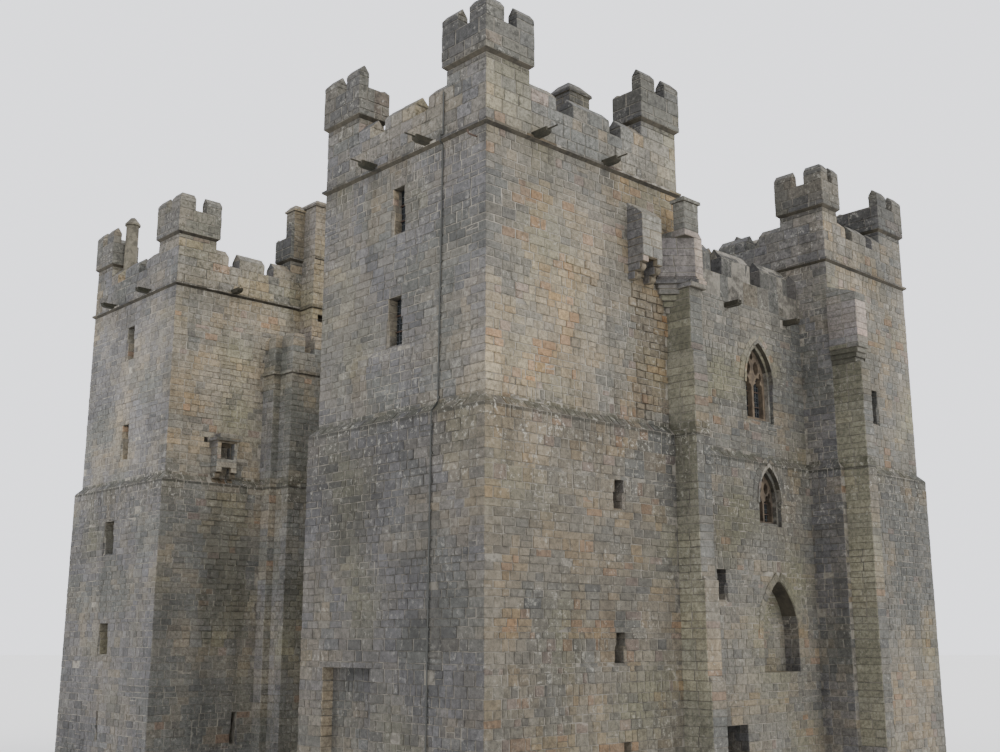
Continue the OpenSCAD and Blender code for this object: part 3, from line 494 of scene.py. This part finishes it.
def block_lengths(length, mean, first, last):
    """Lengths of the blocks of one stretch, with the end blocks given."""
    if length < mean * 0.8:
        return [length]
    if length < first + last + mean * 0.6:
        parts = [chance.uniform(0.7, 1.3) for _ in range(max(1, round(length / mean)))]
    else:
        inner = length - first - last
        parts = [chance.uniform(0.55, 1.6) for _ in range(max(1, round(inner / mean)))]
        parts = [first] + [p * inner / sum(parts) for p in parts] + [last]
    return [p * length / sum(parts) for p in parts]


def split_block(low, high, may_split, share):
    """One block, or now and then two low ones that share a tall course."""
    if may_split and high - low > SPLIT_HEIGHT and chance.random() < share:
        cut = low + (high - low) * chance.uniform(0.4, 0.6)
        return [(low, cut), (cut, high)]
    return [(low, high)]


def joint_gaps(starts, stops, height):
    """The gaps round a block: left, right, below and above."""
    left = -EDGE if starts else JOINT * chance.uniform(0.6, 1.3)
    right = -EDGE if stops else JOINT * chance.uniform(0.6, 1.3)
    below = JOINT * chance.uniform(0.2, 0.8)
    above = JOINT * chance.uniform(0.2, 0.8)
    narrow = 0.3 if height < LOW else 1.0
    return left, right, below * narrow, above * narrow


def block_corners(left_end, right_end, low, high, gaps):
    """Corners of a block on its face, inside its joints and slightly shaken."""
    left, right, below, above = gaps
    shake = min(0.009, (high - low) * 0.05)
    corners = []
    for start, stop in zip(left_end, right_end):
        start += left
        corners.append((start, max(stop - right, start + LEAST_WIDTH)))
    (l0, r0), (l1, r1) = corners
    foot, head = low + below, high - above
    return [(u + chance.uniform(-shake, shake), v + chance.uniform(-shake, shake))
            for u, v in ((l0, foot), (r0, foot), (r1, head), (l1, head))]


# %% [markdown]
# With all that, a face is laid course by course. At the corners a long and a short
# quoin take turns, as they do on a real wall, where they tie the two faces together.
# A wide noise makes the blocks longer in some parts of a wall than in others, and one
# block in some hundreds is missing.

# %% Laying a face
UPRIGHT = 0.02  # a wall leans less than this
LONG_QUOIN, SHORT_QUOIN = 0.55, 0.28
LEAST_HEIGHT, LEAST_LENGTH = 0.045, 0.04
SPLIT_LENGTH = 0.28  # only blocks longer than this are split
TOUCH = 1e-6
LOST = 0.003  # share of the blocks that fell out
BAND_HEIGHT, BAND_LENGTH, BAND_TONE = 0.17, 0.9, 0.5  # a moulding is long, low and dark: weathered, and painted shade for the string's shadow line
SLOPE_TONE = 0.82  # sloping faces hold more dirt
JAMB_WIDTH = 1.75  # narrow faces beside the windows get painted light: their blocks are made lighter
Block = namedtuple("Block", "ring normal least middle tone")


def lay_face(normal, triangles, style, blocks):
    """Adds the blocks of one flat face to the list."""
    along, up, base = face_axes(normal, triangles)
    flat = triangles @ np.array([along, up]).T
    upright = abs(normal.z) < UPRIGHT
    rows = courses(flat, upright, style["beds"])
    width = np.ptp(flat[:, :, 0])
    band = upright and rows[-1] - rows[0] < BAND_HEIGHT and width > BAND_LENGTH
    # A moulding is darkened: partly weathering, partly painted shade for the shadow line of the
    # string.
    tone = BAND_TONE if band else 1.0 if upright else SLOPE_TONE
    # Painted light: the narrow faces beside the windows are made lighter, as if lit.
    if upright and width < JAMB_WIDTH:
        tone *= style["jamb"]
    turn = 1 if abs(normal.x) > 0.5 else 0

    def at(u, v):
        return base + along * u + up * v

    for i, (low, high) in enumerate(zip(rows, rows[1:])):
        if high - low < LEAST_HEIGHT:
            continue
        quoins = (LONG_QUOIN, SHORT_QUOIN) if (i + turn) % 2 else (SHORT_QUOIN, LONG_QUOIN)
        for a, b, bed, top in course_ends(flat, low, high):
            if b - a < LEAST_LENGTH:
                continue
            drift = 1 + 0.7 * noise.noise(at((a + b) / 2, low) * 0.4)
            mean = style["length"] * (2.0 if band else drift)
            x1 = a
            for length in block_lengths(b - a, mean, *quoins):
                x0, x1 = x1, x1 + length
                starts, stops = x0 - a < TOUCH, b - x1 < TOUCH
                left_end = (bed[0], top[0]) if starts else (x0, x0)
                right_end = (bed[1], top[1]) if stops else (x1, x1)
                may_split = upright and length > SPLIT_LENGTH and not (starts or stops)
                for y0, y1 in split_block(low, high, may_split, style["split"]):
                    gaps = joint_gaps(starts, stops, y1 - y0)
                    middle = at((x0 + x1) / 2, (y0 + y1) / 2)
                    if chance.random() < LOST or not seen(middle, normal):
                        continue
                    ring = [at(*corner) for corner in
                            block_corners(left_end, right_end, y0, y1, gaps)]
                    blocks.append(Block(ring, normal, min(x1 - x0, y1 - y0), middle, tone))


print("quoins", LONG_QUOIN, "and", SHORT_QUOIN, "m long in turn")

# %% [markdown]
# A block's colour comes from the quarry and from the weather. Sheltered faces keep
# their buff and a few orange or pink stones; battlements and the foot of the walls go
# grey. Chance alone would look like confetti, so wide noises drift over the wall and
# chance only adds a little to each block.


# %% Colour of a block
def pigment(red, green, blue):
    return np.array(linear(red, green, blue)[:3])


GREY, LILAC = pigment(148, 148, 140), pigment(156, 152, 158)
BUFF, OLIVE, OCHRE = pigment(172, 158, 133), pigment(160, 156, 128), pigment(174, 146, 104)
RUST, PINK = pigment(180, 128, 92), pigment(176, 150, 136)
SLATE, MOSS = pigment(112, 112, 110), pigment(98, 98, 66)
NOISES = (0.28, 0.5, 1.3)  # from a drift as wide as a wall down to a few blocks
LIGHTENED_TONE = 1.2  # blocks with a tone above this, the jambs lightened as painted light, also turn more buff
SET_OFF, CROWN_FOOT = 11.2, 20.2  # heights of the ledge and of the turret tops' foot
PATCH_LEVEL = 11.0  # rough strips above this are ochre, those below olive

# What a block's colour becomes between two heights: the colour it moves to, by what
# share, and how light it gets, on the fronts and on the faces that look to the side.
Zone = namedtuple("Zone", "low high color share side_share factor side_factor")


def blend(a, b, share):
    share = min(1.0, max(0.0, share))
    return a * (1 - share) + b * share


def in_patch(place, boxes, shift):
    """True inside one of some boxes; a shift that changes with the block frays them."""
    return any(all(low < at + shift < high for at, low, high in zip(place, *box))
               for box in boxes)


def block_tint(place, normal, tone, style):
    """Colour of one block: broad drifts of tone, then small chance changes of its own."""
    side = normal.x < -0.5  # the faces that look to the left are cooler and darker
    warm = style["warm"] * (0.15 if side else 1.0)
    broad, drift, spot = (noise.noise(place * scale + Vector((9.0 * k, 0, 0)))
                          for k, scale in enumerate(NOISES))
    # The base tone: two greys that drift, then buff where the wall is warm, then olive.
    color = blend(GREY, LILAC, (0.5 if side else 0.2) + drift * 1.5)
    color = blend(color, BUFF, warm + broad * 0.8 + spot * 0.7 + chance.uniform(-0.15, 0.15))
    color = blend(color, OLIVE, drift * 1.2 + (0.0 if side else 0.15))
    color = blend(color, OCHRE, warm * (spot * 2.8 - 0.25) * chance.uniform(0.1, 1.0))
    # The jamb blocks that are lightened as painted light also turn more buff.
    if tone > LIGHTENED_TONE:
        color = blend(color, BUFF, 0.5)
    # A few blocks are from another bed of the quarry.
    pick = chance.random()
    if not side and pick < warm * max(0.0, spot * 0.6):
        color = blend(color, RUST, 0.35)
    elif not side and pick < 0.08 * warm:
        color = blend(color, PINK, 0.5)
    elif pick < 0.13:
        color = blend(color, SLATE, 0.45)
    # Then what happened to this part of the wall: broken facing, rain, moss.
    if in_patch(place, style["patch"], spot * 0.4):
        color = blend(color, OCHRE if place.z > PATCH_LEVEL else OLIVE, 0.3) * 0.96
    for zone in style["zones"]:
        if zone.low < place.z + spot * 0.3 < zone.high:
            color = blend(color, zone.color, zone.side_share if side else zone.share)
            color = color * (zone.side_factor if side else zone.factor)
    if style["moss"] > 0:
        color = blend(color, MOSS, style["moss"] * (0.5 + noise.noise(place * 0.6)))
    # Last, how light the wall is here, and the block's own small share of chance.
    light = style["light"] * (style["side"] if side else 1.0)
    light *= style["crown"] if place.z > CROWN_FOOT else 1.0
    light *= style["low"] if place.z < SET_OFF else 1.0
    own = math.exp(chance.gauss(0.0, style["mixed"]))
    return color * (1 + broad * 0.5 + spot * 0.2) * light * tone * own


print("grey", [round(c, 3) for c in GREY], "and buff", [round(c, 3) for c in BUFF])

# %% [markdown]
# Every finished mesh becomes a piece that rides on the keep and keeps its own colours.
# A colour attribute on the corners of the faces is the simplest carrier for a tint: it
# needs no picture and no map, and neighbouring blocks don't bleed into each other.


# %% Pieces of the keep
def mesh_from(form, name):
    """Turns a bmesh into a mesh and lets the bmesh go."""
    mesh = bpy.data.meshes.new(name)
    form.to_mesh(mesh)
    form.free()
    return mesh


def keep_piece(name, mesh, finish):
    """Makes a mesh a piece of the keep that rides on it."""
    mesh.materials.append(finish)
    piece = add_object(name, mesh)
    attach(piece, "root")


def paint(mesh, tints, corners):
    """Stores each tint for that many face corners in a row, where the finish reads it."""
    colors = np.ones((len(tints), 4), np.float32)
    colors[:, :3] = np.clip(tints, 0, 1)
    tint = mesh.color_attributes.new("tint", "FLOAT_COLOR", "CORNER")
    tint.data.foreach_set("color", np.repeat(colors, corners, axis=0).ravel())


print("pieces can be made and painted")

# %% [markdown]
# Now the blocks get their body. Each one is a single face; one inset operator lifts
# them all and gives them their slanted rims in one go, which is far quicker than a
# bevel for each. Then every front tilts by a few millimetres, because hand-cut stones
# never lie in one plane.

# %% Body of the blocks
RAISED, RIM = 0.014, 0.012
SMALL = 0.13  # blocks narrower than this get a finer rim
SMALL_RIM, SMALL_TILT = 0.006, 0.004
TILT = 0.003
BROKEN = (-0.004, 0.05)  # how far blocks of a rough strip stand in or out
FACES_DOWN = -0.3  # faces that look down more than this stay bare

# How the blocks of a wall are laid and coloured, unless a wall says otherwise.
STYLE = dict(length=0.37, split=0.1, beds=levels, warm=0.5, moss=0.0, mixed=0.07,
             light=1.0, side=0.85, crown=0.8, low=1.0, jamb=1.0, zones=(), patch=(), finish=stone)


def raise_blocks(name, blocks, patch):
    """A mesh of the blocks, raised off the wall and slightly tilted."""
    form = bmesh.new()
    number = form.faces.layers.int.new("block")
    groups = {True: [], False: []}
    for index, block in enumerate(blocks):
        foot = block.normal * 0.001
        face = form.faces.new([form.verts.new(corner + foot) for corner in block.ring])
        face[number] = index
        groups[block.least < SMALL].append(face)
    for small, faces in groups.items():
        if faces:
            bmesh.ops.inset_individual(form, faces=faces, use_even_offset=True,
                                       thickness=SMALL_RIM if small else RIM,
                                       depth=SMALL_RIM if small else RAISED)
    for small, faces in groups.items():
        for face in faces:
            block = blocks[face[number]]
            lift = chance.uniform(-0.3, 0.5) * (SMALL_TILT if small else RAISED)
            if in_patch(block.middle, patch, 0.0):
                lift = chance.uniform(*BROKEN)
            for vert in face.verts:
                tilt = chance.uniform(-TILT, TILT) * (0.3 if small else 1.0)
                vert.co += block.normal * (lift + tilt)
    return mesh_from(form, name)


def lay_stones(name, members, slot, **changes):
    """Lays the stones of some solids as one piece that rides on the building."""
    style = dict(STYLE, **changes)
    blocks = []
    for member in members:
        for normal, triangles in flat_faces(nodes[member]):
            if normal.z > FACES_DOWN:
                lay_face(normal, triangles, style, blocks)
    mesh = raise_blocks(name, blocks, style["patch"])
    index = np.zeros(len(mesh.polygons), np.int32)
    mesh.attributes["block"].data.foreach_get("value", index)
    tints = np.array([block_tint(b.middle, b.normal, b.tone, style) for b in blocks])
    paint(mesh, tints[index], 4)
    print(name, len(blocks), "blocks,", len(mesh.polygons) * 2, "triangles")
    keep_piece(name, mesh, style["finish"])


print("blocks stand", RAISED, "m off the wall")

# %% [markdown]
# The four towers are laid next, each in three pieces: lower stage, upper stage and
# battlements. One style could serve them all, but rain, sun and soot differ from wall
# to wall, so a table gives each stage its own light and warmth. The narrow faces beside
# the near tower's windows get painted light: their blocks are made lighter than the
# wall. Here and there the facing has broken away. Such a rough strip is a box in space,
# and the blocks inside it stand unevenly.

# %% Stones of the towers
BESIDE_PIER = ((-5.3, -13.0, 11.4), (-3.6, -12.2, 16.2))
HIGH_ON_WALL = ((-8.1, -13.0, 14.6), (-6.9, -12.2, 15.3))
UNDER_BOX = ((-8.1, 5.1, 5.2), (-6.5, 5.9, 10.8))
TOWERS = {  # lower stage, upper stage, battlements
    "near": (dict(light=0.39, side=0.83, warm=0.6, jamb=1.7),
             dict(light=0.59, side=0.75, warm=0.76, jamb=1.35, patch=(BESIDE_PIER, HIGH_ON_WALL)),
             dict(light=0.59 * 1.12, side=0.62, crown=0.6)),
    "left": (dict(light=0.58, side=0.72, warm=0.18, patch=(UNDER_BOX,)),
             dict(light=0.77, side=0.72, warm=0.4),
             dict(light=0.77 * 0.95, side=0.58, crown=0.72)),
    "right": (dict(light=0.48, side=0.9, warm=0.4),
              dict(light=0.6, side=0.85, warm=0.5),
              dict(light=0.6 * 0.85, side=0.8, crown=0.6)),
    "back": (dict(light=0.48, side=0.9, warm=0.3),
             dict(light=0.6, side=0.85, warm=0.45),
             dict(light=0.6 * 0.95, side=0.8, crown=0.6))}
WEATHERED_TOPS = (Zone(20.3, 24.0, GREY, 0.5, 0.3, 1.0, 1.0),)

joints = {}
for tower, (lower, upper, top) in TOWERS.items():
    lay_stones(tower + "_lower_stones", [tower + "_lower_walls"], "stone_lower", **lower)
    lay_stones(tower + "_upper_stones", [tower + "_upper_walls"], "stone_upper", **upper)
    lay_stones(tower + "_battlement_stones", [tower + "_parapet"], "stone_dark", warm=0.4,
               length=0.55, split=0.0, beds=tall_levels, zones=WEATHERED_TOPS,
               finish=stone_dark, **top)
    for part, light in (("lower_walls", lower["light"] * 0.95),
                        ("upper_walls", upper["light"] * 0.9),
                        ("parapet", upper["light"] * 0.65)):
        name = tower + "_" + part
        joints[name] = joint_finish("joints_of_" + name, light)
print(len(joints), "mortars for the towers")

# %% [markdown]
# The hall, its piers, the small turrets, the stone boxes and the chimneys differ in
# age, so their stones differ in length and tone. Where rain or moss has changed one
# level of a wall, a zone between two heights moves the colour of the blocks in it.
# That is easier to steer than a painted mask, and it follows the courses.

# %% Stones of the hall and its additions
lay_stones("hall_stones", ["hall_front_wall", "hall_back_wall", "hall_left_wall",
                           "hall_right_wall"], "stone_upper", warm=0.3, light=0.49, low=0.88,
           zones=(Zone(15.0, 17.0, GREY, 0.5, 0.3, 0.8, 0.8),))
lay_stones("hall_battlement_stones", ["hall_parapets"], "stone_dark", warm=0.2, light=0.29,
           length=0.5, beds=tall_levels, finish=stone_dark)
lay_stones("pier_stones", ["near_pier", "right_pier", "left_pier", "back_pier"], "stone_lower",
           warm=0.4, light=0.52, side=1.2, low=0.85, length=0.5, mixed=0.05,
           zones=(Zone(16.75, 20.0, GREY, 0.6, 0.6, 0.75, 0.75),
                  Zone(15.4, 16.75, PINK, 0.4, 0.15, 1.8, 0.95),
                  Zone(2.0, 15.1, OLIVE, 0.0, 0.7, 1.0, 1.2),
                  Zone(13.2, 15.2, MOSS, 0.15, 0.3, 1.0, 0.95)))
lay_stones("turret_stones", ["stair_turret", "garderobe_turret"], "stone_upper", warm=0.1,
           moss=0.25, light=0.68, side=0.95, crown=1.0,
           zones=(Zone(16.3, 24.0, OCHRE, 0.4, 0.16, 1.2, 1.2),))
lay_stones("fitting_stones", ["near_machicolation", "left_machicolation"], "stone_dressed",
           warm=0.6, length=0.7, split=0.0, light=0.85, side=0.55, mixed=0.03)
lay_stones("chimney_stones", ["chimneys"], "stone_dressed", warm=0.4, split=0.0, light=0.5)
hall_joints = joint_finish("hall_joints", 0.45)
grey_joints = joint_finish("grey_joints", 0.36)
print("mortars for the hall:", hall_joints.name, "and", grey_joints.name)

# %% [markdown]
# Wedge stones ring the pointed arches. Each side of such an arch is part of a circle
# whose middle lies on the far side at the spring line, so a stone's place is an angle.
# A turned cube for each stone is enough, because only its front shows.

# %% Arch stones
CORNER = Vector((-10.865, -12.6, 0.0))  # the near tower's corner, where the measures start
DEPTH = 25.2  # of the whole keep, from front to back
WEDGE, WEDGE_OUT, WEDGE_GAP = 0.21, 0.056, 0.012  # along the ring, off the wall, joint
# across: middle of the opening; front: face of the wall; width: of the opening; spring:
# height of its spring line; clear: from the opening's edge to the ring.
Arch = namedtuple("Arch", "across front width spring clear")
ARCHES = (Arch(13.73, 1.46, 1.35, 12.46 + 1.29, 0.18), Arch(13.73, 1.26, 1.06, 9.0 + 0.76, 0.18),
          Arch(14.0, 1.26, 2.0, 5.45, 0.015))
WEDGE_STYLE = dict(STYLE, warm=0.45, light=0.5, side=1.0, crown=1.0, low=0.8, mixed=0.09)

wedges = bmesh.new()
wedge_tints = []


def lay_wedge(arch, end, outward, hand, k, top, count):
    """The stone of number k, from the spring line up, on the left or right side of an arch."""
    angle = top * (k + 0.5) / count
    deep = chance.uniform(0.2, 0.27)
    reach = arch.width + arch.clear + deep / 2
    place = Vector((arch.across + hand * (reach * math.cos(angle) - arch.width / 2), end,
                    arch.spring + reach * math.sin(angle))) + CORNER
    size = (deep, WEDGE_OUT + chance.uniform(0, 0.01), reach * top / count - WEDGE_GAP, 1.0)
    bmesh.ops.create_cube(wedges, size=1.0, matrix=Matrix.Translation(place)
                          @ Matrix.Rotation(-hand * angle, 4, "Y") @ Matrix.Diagonal(size))
    wedge_tints.append(block_tint(place, Vector((0, outward, 0)), 1.0, WEDGE_STYLE))


for arch in ARCHES:
    top = math.acos(0.5 * arch.width / (arch.width + arch.clear))
    count = round(arch.width * top / WEDGE)
    for end, outward in ((arch.front, -1.0), (DEPTH - arch.front, 1.0)):
        for hand in (1.0, -1.0):
            for k in range(count):
                lay_wedge(arch, end, outward, hand, k, top, count)
wedge_mesh = mesh_from(wedges, "arch_stones")
paint(wedge_mesh, np.array(wedge_tints), 24)
keep_piece("arch_stones", wedge_mesh, stone)
print("arch stones", len(wedge_tints))

# %% [markdown]
# Lead rolls run down the roofs, each over the joint of two sheets. A picture of stripes
# would do from far off, but the rolls catch the light. They follow the slopes of the
# solids themselves, so they stay right if a roof changes.

# %% Lead rolls on the roofs
ROLL, ROLL_PITCH = 0.05, 0.62
ROLL_FOOT, ROLL_HEAD, LEAST_ROLL = 0.05, 0.04, 0.3
SLOPED = 0.3  # steeper faces are no roof


def lie_between(start, stop):
    """The matrix that lays an upright thing half way between two places."""
    turn = (stop - start).to_track_quat("Z", "Y").to_matrix().to_4x4()
    return Matrix.Translation((start + stop) / 2) @ turn


def add_bar(form, start, stop, width, depth):
    """A square bar between two places."""
    bmesh.ops.create_cube(form, size=1.0, matrix=lie_between(start, stop) @ Matrix.Diagonal(
        (width, depth, (stop - start).length, 1.0)))


def add_roll(form, start, stop):
    """A round lead roll between two places."""
    bmesh.ops.create_cone(form, cap_ends=True, segments=8, radius1=ROLL, radius2=ROLL,
                          depth=(stop - start).length, matrix=lie_between(start, stop))


def slope_lines(normal, triangles):
    """Lines straight up a sloping face, a pitch apart."""
    along, up, base = face_axes(normal, triangles)
    turned = triangles @ np.array([up, along]).T
    low, high = float(turned[:, :, 1].min()), float(turned[:, :, 1].max())
    count = max(2, round((high - low) / ROLL_PITCH))
    for k in range(count):
        side = low + (high - low) * (k + 0.5) / count
        for a, b in crossings(turned, side):
            if b - a > LEAST_ROLL:
                yield (base + along * side + up * (a + ROLL_FOOT),
                       base + along * side + up * (b - ROLL_HEAD))


rolls = bmesh.new()
for roof in [solid for name, solid in nodes.items() if name.endswith("_roof")]:
    for normal, triangles in flat_faces(roof, 0.5):
        if SLOPED < normal.z < FLAT:
            for start, stop in slope_lines(normal, triangles):
                add_roll(rolls, start, stop)
rolls_mesh = mesh_from(rolls, "lead_rolls")
print("lead rolls", len(rolls_mesh.polygons), "faces")

# %% [markdown]
# Old windows are many small panes held by strips of lead, with iron bars that stiffen
# them. In the frame every window is one sheet of glass, so each sheet gets upright and
# level strips and two bars on its outside. A look along the thin way of the sheet
# finds out which side that is.

# %% Leading of the windows
PANE_WIDTH, PANE_HEIGHT = 0.13, 0.17
CAME, CAME_OUT, CAME_END = 0.010, 0.006, 0.02
BAR, BAR_OUT = 0.022, 0.03
ARCHED, BELOW_ARCH = 0.9, 0.62  # sheets as wide as this end in an arch above this share
OFF_GLASS, ACROSS = 0.05, 40.0


def sheets(solid):
    """Lowest and highest corner of every separate sheet of a solid."""
    form = bmesh.new()
    form.from_mesh(solid.data)
    left = set(form.verts)
    found = []
    for first in form.verts:
        if first not in left:
            continue
        left.discard(first)
        todo, island = [first], []
        while todo:
            vert = todo.pop()
            island.append(vert.co.copy())
            for edge in vert.link_edges:
                other = edge.other_vert(vert)
                if other in left:
                    left.discard(other)
                    todo.append(other)
        found.append((Vector(map(min, zip(*island))), Vector(map(max, zip(*island)))))
    form.free()
    return found


def lead_sheet(low, high, cames, bars):
    """Strips of lead and two bars on the outside of one sheet of glass."""
    size, middle = high - low, (low + high) / 2
    thin, wide = (0, 1) if size.x < size.y else (1, 0)
    way = Vector((1, 0, 0) if thin == 0 else (0, 1, 0))
    wall = everything.ray_cast(middle + way * OFF_GLASS, way, ACROSS)[0]
    outward = 1.0 if wall is None else -1.0
    face = (high if outward > 0 else low)[thin] + outward * CAME_OUT
    tall = size.z if size[wide] < ARCHED else size.z * BELOW_ARCH

    def spot(share, height, out=0.0):
        place = Vector((0, 0, low.z + height))
        place[thin], place[wide] = face, low[wide] + size[wide] * share
        place[thin] += outward * out
        return place

    columns = max(2, round(size[wide] / PANE_WIDTH))
    for k in range(1, columns):
        add_bar(cames, spot(k / columns, CAME_END), spot(k / columns, tall - CAME_END), CAME, CAME)
    rows = max(2, round(tall / PANE_HEIGHT))
    for k in range(1, rows):
        add_bar(cames, spot(0.0, tall * k / rows), spot(1.0, tall * k / rows), CAME, CAME)
    for share in (0.33, 0.67):
        height = tall * share
        add_bar(bars, spot(0.0, height, BAR_OUT), spot(1.0, height, BAR_OUT), BAR, BAR)


cames, bars = bmesh.new(), bmesh.new()
panes = sheets(nodes["leaded_glass"])
for low, high in panes:
    lead_sheet(low, high, cames, bars)
cames_mesh, bars_mesh = mesh_from(cames, "lead_cames"), mesh_from(bars, "window_bars")
print(len(panes), "panes", len(cames_mesh.polygons), "faces of leading")

# %% [markdown]
# A copper strip that leads lightning down comes along the near tower's left face, out
# over the string course and over the ledge. It is flat and straight between its bends,
# so a row of square bars follows it well, with a small clip every step of the way.

# %% Lightning strip
STRIP_THICK, STRIP_WIDE = 0.012, 0.05
CLIP_THICK, CLIP_WIDE, CLIP_TALL = 0.03, 0.07, 0.05
CLIPS, CLIP_FOOT, CLIP_STEP = 24, 0.5, 0.72
LEAN = 0.0095  # the strip runs this much aside for each metre up
WALL_SIDE, WALL_STEP = 1.82, 10.9  # where it starts, and up to where the wall is thicker
CLIP_LOWER, CLIP_UPPER = -0.24, -0.04  # how far out the clips are on the two walls

strip_way = [Vector(place) + CORNER for place in (
    (-0.05, 1.64, 19.7), (-0.05, 1.65, 18.46), (-0.15, 1.65, 18.42), (-0.15, 1.65, 18.26),
    (-0.05, 1.65, 18.2), (-0.05, 1.74, 11.22), (-0.25, 1.75, 10.95), (-0.25, WALL_SIDE, 0.05))]
strip = bmesh.new()
for start, stop in zip(strip_way, strip_way[1:]):
    add_bar(strip, start, stop, STRIP_THICK, STRIP_WIDE)
for k in range(CLIPS):
    height = CLIP_FOOT + k * CLIP_STEP
    wall = CLIP_LOWER if height < WALL_STEP else CLIP_UPPER
    place = CORNER + Vector((wall, WALL_SIDE - height * LEAN, height))
    add_bar(strip, place, place + Vector((0.0, 0.0, CLIP_TALL)), CLIP_THICK, CLIP_WIDE)
strip_mesh = mesh_from(strip, "lightning_strip")
print("strip", round(sum((b - a).length for a, b in zip(strip_way, strip_way[1:])), 1), "m")

# %% [markdown]
# An old iron hook sticks out of the wall just under the string course. It is small
# and far from the eye, so two square bars end to end are enough.

# %% Iron hook by the near corner
HOOK = 0.03

hook_way = [Vector(place) + CORNER for place in (
    (0.1, 0.34, 18.0), (-0.3, 0.34, 18.0), (-0.34, 0.34, 18.1))]
hook = bmesh.new()
for start, stop in zip(hook_way, hook_way[1:]):
    add_bar(hook, start, stop, HOOK, HOOK)
hook_mesh = mesh_from(hook, "wall_hook")
print("hook", len(hook_mesh.polygons), "faces")

# %% [markdown]
# Lead weathers to a pale, uneven grey and keeps a faint sheen; iron rusts, and old copper
# goes nearly black. The window glass is painted dark as shade of the deep window behind
# it, and the leading is old lead kept darker than the roofs' lead as painted shade of the
# windows. Except for the lead of the roofs these are small in the view, so two tones
# mixed by one noise do.


# %% Metal, oak and glass
def two_tone_finish(name, first, second, rough, *grain):
    """Two tones mixed by one noise."""
    f = Finish(name)
    return f.finish(f.mix(f.noise(*grain), linear(*first), linear(*second)), rough)


lead = Finish("weathered_lead")
sheet_tone = lead.mix(lead.span(lead.noise(0.8, 5.0), 0.35, 0.7), linear(104, 107, 108),
                      linear(76, 78, 80))
runs = lead.span(lead.noise(2.5, 6.0, 0.6, (1, 1, 0.3)), 0.5, 0.7)
lead_tone = lead.mix(runs * 0.4, sheet_tone, linear(126, 129, 128))
lead_finish = lead.finish(lead_tone, 0.6, lead.bump(lead.noise(3.0, 4.0), 0.2, 0.02), 0.3)
iron = two_tone_finish("rusty_iron", (58, 50, 44), (84, 62, 46), 0.75, 14.0, 6.0)
copper = two_tone_finish("weathered_copper", (44, 46, 43), (60, 60, 54), 0.7, 5.0, 5.0)
# Old lead, darker than the roofs' lead as painted shade of the deep windows.
came = two_tone_finish("dark_lead_and_shade", (58, 60, 62), (80, 82, 84), 0.6, 6.0)
oak = two_tone_finish("old_oak", (96, 76, 54), (62, 48, 34), 0.8, 3.0, 6.0, 0.6, (1, 12, 1))
# Painted shade: the glass is dark for the deep shade behind it.
glass = two_tone_finish("painted_shade_glass", (30, 33, 35), (48, 52, 53), 0.15, 4.0)
for name, mesh, finish in (("lead_rolls", rolls_mesh, lead_finish),
                           ("lead_cames", cames_mesh, came), ("window_bars", bars_mesh, iron),
                           ("wall_hook", hook_mesh, iron), ("lightning_strip", strip_mesh, copper)):
    keep_piece(name, mesh, finish)
print("metal pieces in place")

# %% [markdown]
# The solids need finishes of their own: mortar where blocks lie on them, lead on the
# roofs, oak floors, glass painted dark as shade, and worked stone where no blocks are
# laid. A word in each name says which. Faces that look down get painted shade: on the
# walls the slope of a face picks a darker finish for it.

# %% Finishes of the solids
BY_WORD = (("_roof", lead_finish), ("_floors", oak), ("glass", glass), ("tracery", carved),
           ("machicolation", dressed), ("waterspouts", worn), ("chimneys", smoked),
           ("hall_parapets", grey_joints), ("pier", grey_joints))
MORTARS = (hall_joints, grey_joints, *joints.values())

for name, solid in nodes.items():
    made = next((finish for word, finish in BY_WORD if word in name),
                joints.get(name, hall_joints))
    solid.data.materials.clear()
    solid.data.materials.append(made)
    if made in MORTARS:
        solid.data.materials.append(soffit_shade)
        # Painted shade: faces that look down take the dark underside finish.
        for face in solid.data.polygons:
            face.material_index = 1 if face.normal.z < FACES_DOWN else 0
print(len(nodes), "solids finished")

# %% [markdown]
# The keep stands on a plain pale floor. A bright, even surround fills the shade, and a
# sun lamp with a very wide angle gives soft light from one side: the relief of the
# stones shows, but no shadow has a hard edge.

# %% Floor and light
form = bmesh.new()
bmesh.ops.create_grid(form, x_segments=1, y_segments=1, size=900.0)
floor_mesh = mesh_from(form, "floor")
floor_mesh.materials.append(Finish("pale_floor").finish((0.8, 0.8, 0.78, 1), 0.9))
floor = add_object("floor", floor_mesh)

world = bpy.data.worlds.new("surround")
world.use_nodes = True
surround = world.node_tree.nodes["Background"].inputs
surround["Color"].default_value = (0.93, 0.94, 1.0, 1)
surround["Strength"].default_value = 2.0
bpy.context.scene.world = world
sun_data = bpy.data.lights.new("soft_sun", "SUN")
sun_data.energy = 1.3
sun_data.angle = math.radians(40)
sun_data.color = (1.0, 0.96, 0.9)
sun = add_object("soft_sun", sun_data)
sun.rotation_euler = (math.radians(48), 0.0, math.radians(22))
print("floor, surround and sun lamp in place")
